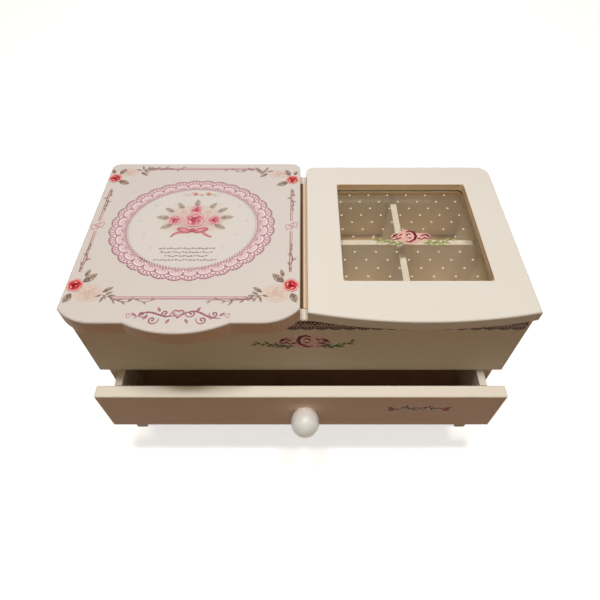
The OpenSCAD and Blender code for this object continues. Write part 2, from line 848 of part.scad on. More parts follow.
// Crown wheel, its teeth towards the cylinder
module crown_wheel() {
    tooth_h = 1.9 * gear_m;
    color(brass) translate([x_spin, y_crown_face, z_arbor]) rotate([90, 0, 0]) difference() {
        union() {
            translate([0, 0, -crown_t]) cylinder(r = crown_r + crown_ring / 2, h = crown_t);
            for (i = [0:crown_teeth - 1]) {
                rotate([0, 0, 90 + 360 * (i + 0.5) / crown_teeth])
                    translate([crown_r - crown_ring / 2, 0, -cut])
                    rotate([90, 0, 90]) linear_extrude(crown_ring)
                    polygon([[-0.27 * PI * gear_m, 0], [0.27 * PI * gear_m, 0],
                             [0.1 * PI * gear_m, tooth_h], [-0.1 * PI * gear_m, tooth_h]]);
            }
        }
        translate([0, 0, -crown_t - 1]) cylinder(r = arbor_r, h = crown_t + 3);
    }
}

// Butterfly key, screwed onto the arbor behind the case
module winding_key() {
    color(brass) translate([x_spin, y_back + side_gap, z_arbor]) rotate([-90, 0, 0]) difference() {
        union() {
            cylinder(r = arbor_r + 1.5, h = key_shank);
            translate([0, 0, key_shank - side_gap]) key_wings();
        }
        translate([0, 0, -1]) cylinder(r = arbor_r, h = key_shank - 2 - side_gap + 1);
    }
}

module key_wings() {
    wing = key_w / 4;
    rotate([90, 0, 0]) translate([0, 0, -1]) linear_extrude(2) difference() {
        union() {
            for (x = [-1, 1]) {
                translate([x * (key_w / 2 - wing), key_wing_h - wing]) circle(r = wing);
            }
            polygon([[-arbor_r - 1.5, -1], [arbor_r + 1.5, -1], [key_w / 2 - 0.4, key_wing_h - wing - 2],
                     [0, key_wing_h - 3], [0.4 - key_w / 2, key_wing_h - wing - 2]]);
        }
        for (x = [-1, 1]) {
            translate([x * (key_w / 2 - wing), key_wing_h - wing]) circle(r = wing * 0.45);
        }
    }
}

// Drum with the tune's pins, one row of pins for each comb tooth
module pinned_cylinder() {
    color(brass) translate([x_spin, y_spin, z_drum]) {
        difference() {
            cylinder(r = drum_r, h = drum_l);
            translate([0, 0, -1]) cylinder(r = spindle_r, h = drum_l + 2);
        }
        for (i = [0:comb_teeth - 1], k = [0:2]) {
            z = z_comb - z_drum + 0.5 + (i + 0.5) * comb_pitch;
            rotate([0, 0, 20 + (i * 67 + k * 112) % 320 - 160])
                translate([drum_r - 0.5, 0, z]) rotate([0, 90, 0])
                cylinder(r = 0.16, h = 0.5 + drum_pin, $fn = 6);
        }
    }
}

module cylinder_wheel() {
    color(brass) translate([x_spin, y_spin, z_wheel]) difference() {
        rotate([0, 0, 90]) gear(cylinder_teeth, gear_m, wheel_t);
        translate([0, 0, -1]) cylinder(r = spindle_r, h = wheel_t + 2);
    }
}

// Cylinder arbor that runs up through the deck and ends in the figure's fork
module spindle() {
    color(steel) difference() {
        union() {
            translate([x_spin, y_spin, z_arm_low + 0.2])
                cylinder(r = spindle_r, h = z_fold - 3 - z_arm_low - 0.2 + cut);
            translate([x_spin, y_spin, z_fold - 3.4]) cylinder(r = fork_gap + fork_t, h = 1.2);
            for (x = [-fork_gap - fork_t, fork_gap]) {
                translate([x_spin + x, y_spin - 1.5, z_fold - 2.6]) cube([fork_t, 3, 2.6]);
                translate([x_spin + x, y_spin, z_fold]) rotate([0, 90, 0]) cylinder(r = 1.5, h = fork_t);
            }
        }
        translate([x_spin - 4, y_spin, z_fold]) rotate([0, 90, 0]) cylinder(r = fold_pin_r, h = 8);
    }
}

comb_screw_r = 1;
comb_screw_l = 6;

module comb_screw_places() {
    for (z = [z_comb + comb_h * 0.25, z_comb + comb_h * 0.75]) {
        translate([x_comb_root - comb_base * 0.55, y_spin, z]) rotate([-90, 0, 0]) children();
    }
}

// Steel comb: teeth stacked along the cylinder, longer towards the bass end
module comb() {
    color("gainsboro") difference() {
        translate([x_comb_root - comb_base, y_spin, z_comb]) cube([comb_base + tooth_l, comb_t, comb_h]);
        for (i = [1:comb_teeth - 1]) {
            translate([x_comb_root - 2.5 + 2.5 * i / comb_teeth, y_spin - 1,
                       z_comb + 0.5 + i * comb_pitch - 0.13]) cube([tooth_l + 5, comb_t + 2, 0.26]);
        }
        for (z = [z_comb - 1, z_comb + comb_h - 0.5]) {
            translate([x_comb_root - 2.5, y_spin - 1, z]) cube([tooth_l + 5, comb_t + 2, 1.5]);
        }
        comb_screw_places() cylinder(r = comb_screw_r, h = comb_screw_l);
    }
}

module comb_screws() {
    color(steel) comb_screw_places() {
        cylinder(r = comb_screw_r, h = comb_screw_l);
        difference() {
            translate([0, 0, -1.2]) cylinder(r = 1.9, h = 1.2);
            translate([-2, -0.25, -2]) cube([4, 0.5, 1.3]);
        }
    }
}

// Governor's frame: a post beside the train, two arms for the idler and two lugs for the worm
module governor_frame() {
    z_foot = z_arm_low;
    arm_l = x_frame - x_idler + 2;
    color(brass) difference() {
        union() {
            translate([x_frame, y_spin - y_lug, z_foot]) cube([1, y_bed - y_spin + y_lug, bed_h]);
            for (z = [z_foot, z_arm_high]) {
                translate([x_idler - 2, y_spin - 2, z]) cube([arm_l + cut, 4, arm_t]);
            }
            for (y = [y_spin - y_lug, y_spin + y_lug - 1]) {
                translate([x_worm - 1.6, y, z_worm - 1.6]) cube([x_frame - x_worm + 1.6 + cut, 1, 3.2]);
            }
        }
        translate([x_idler, y_spin, z_foot - 1]) cylinder(r = 0.6 + run_fit, h = bed_h + 2);
        translate([x_worm, y_spin - y_lug - 1, z_worm]) rotate([-90, 0, 0])
            cylinder(r = 0.6 + run_fit, h = 2 * y_lug + 2);
    }
}

// Idler: pinion in the cylinder wheel, worm wheel below it
module idler() {
    color(brass) translate([x_idler, y_spin, 0]) {
        translate([0, 0, z_arm_low + 0.2]) cylinder(r = 0.6, h = bed_h - 0.4);
        translate([0, 0, z_wheel]) rotate([0, 0, 180 + 180 / idler_teeth])
            gear(idler_teeth, gear_m, wheel_t);
        translate([0, 0, z_worm - 0.7]) gear(worm_wheel_teeth, worm_m, 1.4);
    }
}

// Two-start worm with the air brake's two vanes
module fly() {
    thread_l = 7;
    lead = 2 * PI * worm_m;
    color(brass) translate([x_worm, y_spin, z_worm]) rotate([90, 0, 0]) {
        translate([0, 0, -y_lug]) cylinder(r = 0.6, h = 2 * y_lug + 4);
        translate([0, 0, -thread_l / 2])
            linear_extrude(thread_l, twist = -360 * thread_l / lead, slices = 32, segments = 12)
                polygon([for (i = [0:11]) let (a = 30 * i + 90, b = [0.9, 0.2, 0, 0, 0, 0.2][i % 6])
                    (worm_r - 0.75 + b) * [cos(a), sin(a)]]);
        translate([0, 0, y_lug + 0.6]) cylinder(r = 1.3, h = 3.4);
        translate([-fly_r, -0.25, y_lug + 0.8]) cube([2 * fly_r, 0.5, 3]);
    }
}

// Wire that the lid pushes down onto the fly, with a collar that ends its rise under the deck
module stop_wire() {
    collar_h = 1.2;
    z_low = z_worm + fly_r + 0.5;
    bend = [stop_x, stop_y, z_low];
    corner = [stop_x, fly_y + 1, z_low];
    tip = [x_worm, fly_y + 1, z_low];
    color(steel) {
        translate(bend) cylinder(r = stop_r, h = z_rim - 0.1 - z_low);
        translate([stop_x, stop_y, z_deck - deck_t - side_gap - stop_travel - collar_h])
            cylinder(r = 2 * stop_r, h = collar_h);
        for (p = [bend, corner, tip]) translate(p) sphere(r = stop_r * 1.1);
        rod(bend, corner, stop_r * 0.9, stop_r * 0.9);
        rod(corner, tip, stop_r * 0.9, stop_r * 0.9);
    }
}

// ---- Figure ----

module fold_pin() {
    color(steel) translate([x_spin - 3.6, y_spin, z_fold]) rotate([0, 90, 0])
        cylinder(r = fold_pin_r, h = 6.2);
}

// Coils round the pin beside the fork, with a leg down the spindle's collar
module fold_spring() {
    wire = 0.2;
    color(steel) {
        for (i = [0:2]) {
            translate([x_spin - fork_gap - fork_t - 0.25 - i * 0.42, y_spin, z_fold]) rotate([0, 90, 0])
                rotate_extrude() translate([fold_pin_r + 0.3 - wire, -wire]) square(2 * wire);
        }
        translate([x_spin - fork_gap - fork_t - 0.25, y_spin + fold_pin_r + 0.3, z_fold - 2.6])
            cylinder(r = wire, h = 2.6);
    }
}

// Stands the figure's own frame, Z up from the pin, at its folded place
module folded() {
    translate([x_spin, y_spin, z_fold]) rotate([90, 0, 0]) children();
}

// Limb between two round joints
module limb(p, q, r1, r2) {
    hull() {
        translate(p) sphere(r = r1, $fn = 14);
        translate(q) sphere(r = r2, $fn = 14);
    }
}

// Drawn 42 parts tall and scaled to figure_h
module ballerina() {
    middle = waist / figure_k;
    hip = middle - 1;
    shoulder = middle + 7.4;
    color("bisque") folded() difference() {
        scale(figure_k) union() {
            translate([-1, 0, 0]) rotate([0, 90, 0]) cylinder(r = 1.4, h = 2);
            limb([0, 0, 1.2], [0, 0, 4], 0.7, 0.8);
            for (x = [-1, 1]) {
                limb([0.3 * x, 0, 3.6], [0.9 * x, 0, hip], 0.7, 1.4);
                limb([1.9 * x, 0, shoulder], [5 * x, -0.5, shoulder + 5], 0.85, 0.65);
                limb([5 * x, -0.5, shoulder + 5], [1 * x, -0.5, shoulder + 11.6], 0.65, 0.45);
            }
            translate([0, 0, middle - 2]) rotate_extrude() polygon(concat([[0, 0], [2.3, 0]],
                [for (i = [0:8]) [1.75 + 0.65 * pow(abs(i - 3) / 5, 1.5), 1 + i]],
                [[0.8, 10.4], [0.8, 13], [0, 13]]));
            translate([0, 0, shoulder + 4.8]) sphere(r = 2.1);
            translate([0, 1.2, shoulder + 6.6]) sphere(r = 1.1);
        }
        translate([-4, 0, 0]) rotate([0, 90, 0]) cylinder(r = fold_pin_r + run_fit, h = 8);
    }
}

// Tutu: a shallow bell round the waist
module tutu() {
    inner_r = 2.45 * figure_k;
    color("pink") folded() translate([0, 0, waist]) rotate_extrude() polygon([
        [inner_r, -1.6], [bell_r - 0.8, -3.2], [bell_r, -2.6], [bell_r - 2, -0.8], [inner_r, 0.9]]);
}

side_left();
side_right();
back_panel();
front_panel();
skirt_front();
skirt_back();
skirt_left();
skirt_right();
base_board();
well_floor();
partition();
divider_long();
divider_cross();
cell_lining();
tray_lining();
deck();
deck_riser();
deck_cleats();
left_lid();
mirror();
mirror_clips();
right_lid();
glass_pane();
glazing_bead();
hinge_leaves_case();
hinge_leaves_left();
hinge_leaves_right();
hinge_pins();
hinge_screws_case();
hinge_screws_left();
hinge_screws_right();
drawer_front();
drawer_sides();
drawer_back();
drawer_bottom();
drawer_lining();
knob();
knob_screw();
movement_block();
bedplate();
bedplate_screws();
spring_housing();
winding_arbor();
crown_wheel();
winding_key();
pinned_cylinder();
cylinder_wheel();
spindle();
comb();
comb_screws();
governor_frame();
idler();
fly();
stop_wire();
fold_pin();
fold_spring();
ballerina();
tutu();
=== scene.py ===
import math

import bpy
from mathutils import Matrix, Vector


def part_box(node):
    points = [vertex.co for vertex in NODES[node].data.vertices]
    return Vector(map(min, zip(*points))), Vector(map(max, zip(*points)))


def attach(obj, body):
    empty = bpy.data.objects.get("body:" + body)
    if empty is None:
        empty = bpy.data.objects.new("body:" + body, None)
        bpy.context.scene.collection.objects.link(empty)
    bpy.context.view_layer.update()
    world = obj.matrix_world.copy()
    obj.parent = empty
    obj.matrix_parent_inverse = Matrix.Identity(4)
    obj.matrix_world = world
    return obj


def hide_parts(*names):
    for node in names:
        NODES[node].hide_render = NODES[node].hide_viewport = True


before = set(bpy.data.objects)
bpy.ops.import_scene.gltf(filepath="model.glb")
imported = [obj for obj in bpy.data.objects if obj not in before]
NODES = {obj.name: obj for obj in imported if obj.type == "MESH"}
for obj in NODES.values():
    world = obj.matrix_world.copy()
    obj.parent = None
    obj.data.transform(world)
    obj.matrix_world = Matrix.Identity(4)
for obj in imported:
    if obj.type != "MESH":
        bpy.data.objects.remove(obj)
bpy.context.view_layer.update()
MM = 0.001

# ---- Studio ----
# A pale floor, two small lamps overhead, a weak one in front, one far behind and an even pale room.
# The camera stands in front of the box and looks down on it.
EYE = Vector((0.6 * MM, -229.7 * MM, 391 * MM))
LOOK_DOWN = math.radians(51.74)

camera_data = bpy.data.cameras.new("camera")
camera_data.lens = 28.62
camera_data.shift_x = -0.0028
camera_data.clip_start = 0.01
camera = bpy.data.objects.new("camera", camera_data)
bpy.context.scene.collection.objects.link(camera)
camera.location = EYE
camera.rotation_euler = (math.pi / 2 - LOOK_DOWN, 0, 0)
bpy.context.scene.camera = camera
bpy.context.scene.view_settings.view_transform = "Standard"

bpy.ops.object.select_all(action="DESELECT")
bpy.ops.mesh.primitive_plane_add(size=6, location=(0, 0, -0.0004))
floor = bpy.context.object
floor.name = "floor"


class Tap:
    """A shader socket that can stand in a sum, so a finish is written as plain maths."""

    def __init__(self, tree, socket):
        self.tree, self.socket = tree, socket

    def _sum(self, operation, left, right):
        node = self.tree.nodes.new("ShaderNodeMath")
        node.operation = operation
        for socket, value in zip(node.inputs, (left, right)):
            if isinstance(value, Tap):
                self.tree.links.new(value.socket, socket)
            elif value is not None:
                socket.default_value = value
        return Tap(self.tree, node.outputs[0])

    def __add__(self, other):
        return self._sum("ADD", self, other)

    def __sub__(self, other):
        return self._sum("SUBTRACT", self, other)

    def __rsub__(self, other):
        return self._sum("SUBTRACT", other, self)

    def __mul__(self, other):
        return self._sum("MULTIPLY", self, other)

    def __truediv__(self, other):
        return self._sum("DIVIDE", self, other)

    def __gt__(self, other):
        return self._sum("GREATER_THAN", self, other)

    def __pow__(self, other):
        return self._sum("POWER", self, other)

    def __abs__(self):
        return self._sum("ABSOLUTE", self, None)

    def clipped(self):
        """Held between 0 and 1."""
        return self._sum("MINIMUM", self._sum("MAXIMUM", self, 0.0), 1.0)

    __radd__ = __add__
    __rmul__ = __mul__


class Bench:
    """One tree of shader nodes, with the nodes made by name."""

    def __init__(self, tree):
        self.tree = tree

    def feed(self, socket, value):
        """Links a socket to a tap or another socket, or sets it to a plain value."""
        if isinstance(value, Tap):
            value = value.socket
        if isinstance(value, bpy.types.NodeSocket):
            self.tree.links.new(value, socket)
        else:
            socket.default_value = value

    def node(self, kind, settings=None, **sockets):
        node = self.tree.nodes.new(kind)
        for key, value in (settings or {}).items():
            setattr(node, key, value)
        for key, value in sockets.items():
            self.feed(node.inputs[key.replace("_", " ")], value)
        return node

    def looked_at(self):
        """1 for what is seen, mirrored or looked at through glass, 0 for the light that it gives."""
        path = self.node("ShaderNodeLightPath")
        camera, glossy, through = (Tap(self.tree, path.outputs[f"Is {kind} Ray"])
                                   for kind in ("Camera", "Glossy", "Transmission"))
        return (camera + glossy + through).clipped()

    def surface(self, factor, first, second):
        """Ends the tree in the first shader where the factor is 0 and in the second where it is 1."""
        mixed = self.node("ShaderNodeMixShader", Fac=factor)
        self.feed(mixed.inputs[1], first.outputs[0])
        self.feed(mixed.inputs[2], second.outputs[0])
        ending = next(node for node in self.tree.nodes if "Surface" in node.inputs)
        self.feed(ending.inputs["Surface"], mixed.outputs[0])


class Finish(Bench):
    """A material on one Principled shader."""

    def __init__(self, name, **sockets):
        self.material = bpy.data.materials.new(name)
        self.material.use_nodes = True
        super().__init__(self.material.node_tree)
        self.shader = self.tree.nodes["Principled BSDF"]
        self.place = self.node("ShaderNodeTexCoord").outputs["Object"]
        for key, value in sockets.items():
            self.set(key.replace("_", " "), value)

    def set(self, key, value):
        self.feed(self.shader.inputs[key], value)

    def noise(self, scale, detail=3.0, roughness=0.5, stretch=(1, 1, 1)):
        where = self.place
        if stretch != (1, 1, 1):
            where = self.node("ShaderNodeMapping", Vector=where, Scale=stretch).outputs[0]
        made = self.node("ShaderNodeTexNoise", Vector=where, Scale=scale, Detail=detail, Roughness=roughness)
        return Tap(self.tree, made.outputs["Fac"])

    def axis(self, letter):
        """How far along X, Y or Z a point is, in millimetres."""
        parts = self.node("ShaderNodeSeparateXYZ", Vector=self.place)
        return Tap(self.tree, parts.outputs[letter]) / MM

    def drawn(self):
        """The colour painted on the mesh's own points."""
        return self.node("ShaderNodeAttribute", {"attribute_name": "ink"}).outputs["Color"]

    def blend(self, factor, first, second):
        """Colour that goes from the first to the second as the factor goes from 0 to 1."""
        node = self.node("ShaderNodeMix", {"data_type": "RGBA"})
        for socket, value in zip((node.inputs[0], node.inputs[6], node.inputs[7]), (factor, first, second)):
            self.feed(socket, value)
        return node.outputs[2]

    def overpaint(self, factor, colour):
        """Lays one more colour over the base colour where the factor is 1."""
        below = self.shader.inputs["Base Color"].links[0].from_socket
        self.set("Base Color", self.blend(factor, below, colour))

    def bump(self, height, depth):
        self.set("Normal", self.node("ShaderNodeBump", Height=height, Distance=depth).outputs[0])


def shade(red, green, blue):
    """A colour given as on a screen, 0 to 255, turned into linear light."""
    def linear(part):
        part = part / 255
        return part / 12.92 if part < 0.04045 else ((part + 0.055) / 1.055) ** 2.4
    return (linear(red), linear(green), linear(blue), 1.0)


def paint(finish, *nodes):
    """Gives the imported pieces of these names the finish."""
    for node in nodes:
        NODES[node].data.materials.clear()
        NODES[node].data.materials.append(finish.material)


def span(node, axis):
    """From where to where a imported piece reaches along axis 0, 1 or 2, in millimetres."""
    low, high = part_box(node)
    return round(low[axis] / MM, 3), round(high[axis] / MM, 3)


# The floor is white where it is seen or mirrored. What it throws back up on the box is a dull
# table's brown.
WHITE = (1, 1, 1, 1)
backdrop = Finish("backdrop", Base_Color=shade(240, 239, 237), Roughness=0.9,
                  Emission_Color=WHITE, Emission_Strength=0.66)
table = backdrop.node("ShaderNodeBsdfDiffuse", Color=shade(128, 70, 30))
backdrop.surface(backdrop.looked_at(), table, backdrop.shader)
floor.data.materials.append(backdrop.material)

# The room's walls are plain white where they are seen or mirrored, and give a weak warm light.
world = bpy.data.worlds.new("room")
bpy.context.scene.world = world
world.use_nodes = True
room = Bench(world.node_tree)
air = world.node_tree.nodes["Background"]
room.feed(air.inputs["Color"], (1.0, 0.86, 0.58, 1))
room.feed(air.inputs["Strength"], 0.12)
room.surface(room.looked_at(), air, room.node("ShaderNodeBackground", Color=WHITE))

for name, place, size, power, colour in (
        ("lamp_left", (-0.15, -0.09, 1.05), 0.12, 3.25, (1.0, 0.985, 0.96)),
        ("lamp_right", (0.17, -0.09, 1.05), 0.12, 3.25, (1.0, 0.985, 0.96)),
        ("fill", (0.0, -0.60, 0.60), 0.5, 0.45, (1.0, 0.76, 0.34)),
        ("back", (0.0, 1.25, 0.62), 0.9, 2.4, (1.0, 0.95, 0.88))):
    lamp_data = bpy.data.lights.new(name, "AREA")
    lamp_data.shape = "SQUARE"
    lamp_data.size = size
    lamp_data.energy = power
    lamp_data.color = colour
    lamp = bpy.data.objects.new(name, lamp_data)
    bpy.context.scene.collection.objects.link(lamp)
    lamp.location = place
    lamp.rotation_euler = (Vector((0, 0, 0.1)) - lamp.location).to_track_quat("-Z", "Y").to_euler()

# ---- Painted case and drawer box ----
# The boards are fibreboard with eased edges, sprayed with a satin ivory paint that leaves a faint
# orange peel and a few specks of dust.


def sprayed(name, colour, warm):
    finish = Finish(name, Coat_Weight=0.02, Coat_Roughness=0.25, Specular_IOR_Level=0.06)
    cloud = finish.noise(9, 4)
    speck = finish.noise(900, 2)
    tone = finish.blend((cloud * 2.2 - 0.6).clipped() * 0.5, colour, warm)
    finish.set("Base Color", finish.blend(((speck - 0.72) * 9).clipped() * 0.25, tone, shade(150, 132, 112)))
    finish.set("Roughness", 0.36 + finish.noise(40, 3) * 0.12)
    finish.bump(finish.noise(420, 2) * 0.7 + finish.noise(60, 2) * 0.6, 0.06 * MM)
    return finish


IVORY, IVORY_WARM = shade(233, 226, 216), shade(227, 216, 203)
paint(sprayed("ivory_paint", IVORY, IVORY_WARM),
      "side_left", "side_right", "back_panel", "front_panel", "skirt_front", "skirt_back", "skirt_left",
      "skirt_right", "divider_long", "divider_cross", "drawer_sides", "drawer_back")

# ---- Left lid ----
# The plain lid is sprayed a rosier white than the case. Its shaped edge, up to the rounding at the top, is
# painted warmer and darker: painted shade, for the shade and brown bounce light that fall on its sides.
LID_LOW, LID_TOP = span("left_lid", 2)
blush = sprayed("blush_paint", shade(221, 213, 210), shade(216, 205, 201))
height = blush.axis("Z")
# painted shade: warmer and darker on the lid's sides, below the top's rounding
rim = ((LID_TOP - 0.6 - height) / 1.6).clipped() * ((height - LID_LOW - 0.2) / 0.6).clipped()
blush.overpaint(rim, shade(220, 190, 170))
paint(blush, "left_lid")

# ---- Window lid ----
# The window lid and the bead that holds its pane are a cooler white. Inside the opening, which is smaller
# than the pane by its rebate, the walls are painted tan brown: painted warm bounce light, thrown on them
# from the brown interior.
PANE_REBATE, BOUNCE_EDGE = 4.0, 0.15
cool = sprayed("window_lid_paint", shade(233, 228, 222), shade(229, 221, 212))
inside = []
for axis, letter in ((0, "X"), (1, "Y")):
    low, high = span("glass_pane", axis)
    opening = (high - low) / 2 - PANE_REBATE + BOUNCE_EDGE
    inside.append(opening - abs(cool.axis(letter) - (low + high) / 2) > 0.0)
# painted warm bounce light: the opening's walls are tan brown
cool.overpaint(inside[0] * inside[1], shade(208, 178, 144))
paint(cool, "right_lid", "glazing_bead")

# ---- Drawer front ----
# The drawer front has the same cream paint as the boards, painted lighter on its top edge as painted light,
# and painted darker and rosier on its face as painted shade with warm bounce.
drawer_lit_top_shaded_face = sprayed("drawer_front_paint", shade(243, 236, 225), shade(238, 227, 213))
# painted shade: the face below the top edge is darker and rosier
drawer_lit_top_shaded_face.overpaint(((span("drawer_front", 2)[1] - 0.3 - drawer_lit_top_shaded_face.axis("Z")) / 0.8).clipped(), shade(228, 207, 193))
paint(drawer_lit_top_shaded_face, "drawer_front")

# ---- Partition ----
# The board between the compartments is painted on both faces. Its top, which shows in the gap between the
# lids, is bare board, and its left side is painted dark as the painted shadow of the left lid.
LID_SHADOW_ENDS, GRAIN_STRETCH = 1.2, (4, 0.4, 4)
edge = sprayed("partition_paint", IVORY, IVORY_WARM)
# painted shadow of the left lid along the left side of the top
left_lid_shadow = edge.blend((edge.axis("X") - LID_SHADOW_ENDS).clipped(), shade(112, 80, 52), shade(240, 218, 188))
bare = edge.blend((edge.noise(70, 4, 0.6, GRAIN_STRETCH) - 0.5).clipped(), left_lid_shadow, shade(150, 110, 72))
edge.overpaint(edge.axis("Z") > span("partition", 2)[1] - 0.3, bare)
paint(edge, "partition")

# ---- Bare board ----
# The unseen boards are raw fibreboard, felted fibres pressed flat, with a fine fleck and a
# nap along the sheet.
raw = Finish("raw_fibreboard", Roughness=0.85)
fibre = raw.noise(60, 6, 0.7, (1, 4, 1))
raw.set("Base Color", raw.blend((fibre * 1.6 - 0.3).clipped(), shade(166, 132, 94), shade(190, 158, 118)))
raw.bump(raw.noise(1400, 3), 0.1 * MM)
paint(raw, "base_board", "well_floor", "deck_cleats", "drawer_bottom", "movement_block")

# ---- Flocked linings ----
# The deck, the compartment floors and the drawer's bottom are covered with short nylon flock,
# tan in the compartments and brown in the drawer, with soft patches where it was brushed.


def flocked(name, low, high):
    finish = Finish(name, Roughness=0.95, Sheen_Weight=0.35, Sheen_Roughness=0.5)
    pile = finish.noise(2600, 2)
    patch = finish.noise(38, 3, 0.55)
    finish.set("Base Color", finish.blend(((pile - 0.5) * 1.4 + patch).clipped(), low, high))
    finish.bump(pile * 0.7 + patch * 0.5, 0.12 * MM)
    return finish


paint(flocked("tan_flock", shade(236, 206, 168), shade(244, 222, 190)), "tray_lining", "deck", "deck_riser")
paint(flocked("brown_flock", shade(172, 135, 112), shade(198, 161, 136)), "drawer_lining")
# In the cells the flock is painted lighter than the deck's, as painted light for the deep cells, and darker
# along the foot of the back wall, as painted shade.
SHADE_REACH, SHADE_RISE = 9.5, 2.0
cells = flocked("cell_flock", shade(251, 213, 161), shade(255, 230, 186))
near_wall = ((cells.axis("Y") - (span("cell_lining", 1)[1] - SHADE_REACH)) / 4).clipped()
near_floor = ((span("cell_lining", 2)[0] + SHADE_RISE - cells.axis("Z")) / 2).clipped()
cells.overpaint(near_wall * near_floor * 0.8, shade(150, 116, 84))
paint(cells, "cell_lining")

# ---- Brass and steel ----
# The hinges, key and wheels are plated brass with faint brush lines and dull patches. The screws, comb,
# bedplate and arbors are plain steel.


def brushed(name, bright, dull, roughness, stretch):
    finish = Finish(name, Metallic=1.0)
    lines = finish.noise(700, 3, 0.6, stretch)
    bloom = finish.noise(120, 4)
    finish.set("Base Color", finish.blend(((bloom - 0.42) * 3).clipped(), bright, dull))
    finish.set("Roughness", roughness + lines * 0.16 + bloom * 0.08)
    finish.bump(lines, 0.02 * MM)
    return finish


brass = brushed("brass", shade(214, 176, 104), shade(176, 136, 74), 0.18, (0.08, 1, 1))
steel = brushed("steel", shade(196, 196, 198), shade(160, 158, 156), 0.2, (1, 0.08, 1))
blued = brushed("comb_steel", shade(150, 152, 158), shade(120, 118, 120), 0.22, (0.08, 1, 1))
paint(brass, "hinge_leaves_case", "hinge_leaves_left", "hinge_leaves_right", "hinge_screws_case",
      "hinge_screws_left", "hinge_screws_right", "spring_housing", "crown_wheel", "winding_key",
      "pinned_cylinder", "cylinder_wheel", "governor_frame", "idler", "fly")
paint(steel, "hinge_pins", "knob_screw", "mirror_clips", "bedplate", "bedplate_screws", "winding_arbor",
      "spindle", "comb_screws", "stop_wire", "fold_pin", "fold_spring")
paint(blued, "comb")

# ---- Knob ----
# A turned ball knob, dipped in thick white gloss that leaves it slightly uneven and darker towards the
# drawer.
gloss = Finish("knob_gloss", Coat_Weight=0.9, Coat_Roughness=0.02, Roughness=0.3)
knob_front, knob_foot = span("knob", 1)
inward = (gloss.axis("Y") - knob_front) / (knob_foot - knob_front)
darker_by_drawer = (inward ** 3.0 * 0.8 + (gloss.noise(90, 3) - 0.5) * 0.3).clipped()
gloss.set("Base Color", gloss.blend(darker_by_drawer, shade(240, 241, 241), shade(226, 214, 202)))
gloss.bump(gloss.noise(160, 2), 0.08 * MM)
paint(gloss, "knob")

# ---- Pane and mirror ----
# Two millimetre float glass, a little yellowed, which mirrors more the flatter it is looked at,
# and a silvered mirror of the same glass.
pane = Finish("window_glass", Roughness=0.02, IOR=1.5)
clear = pane.node("ShaderNodeBsdfTransparent", Color=(0.995, 0.985, 0.955, 1))
shine = pane.node("ShaderNodeBsdfGlossy", Color=WHITE, Roughness=0.03)
slant = Tap(pane.tree, pane.node("ShaderNodeLayerWeight", Blend=0.5).outputs["Facing"])
pane.surface(slant ** 5.0 * 0.9 + 0.022, clear, shine)
paint(pane, "glass_pane")

silver = Finish("mirror_silver", Metallic=1.0, Roughness=0.02)
tarnish = ((silver.noise(30, 3) - 0.6) * 2).clipped()
silver.set("Base Color", silver.blend(tarnish, shade(232, 236, 234), shade(218, 222, 220)))
paint(silver, "mirror")

# ---- Printed transfers ----
# The designs are screen-printed transfers: flat cut shapes of ink in register, one over the
# other. Each transfer is one thin sheet, laid on the paint or on the pane.


def worked(piece, kind, **settings):
    """Puts one modifier on a piece and applies it."""
    bpy.ops.object.select_all(action="DESELECT")
    piece.select_set(True)
    bpy.context.view_layer.objects.active = piece
    step = piece.modifiers.new("step", kind)
    for key, value in settings.items():
        setattr(step, key, value)
    bpy.ops.object.modifier_apply(modifier="step")


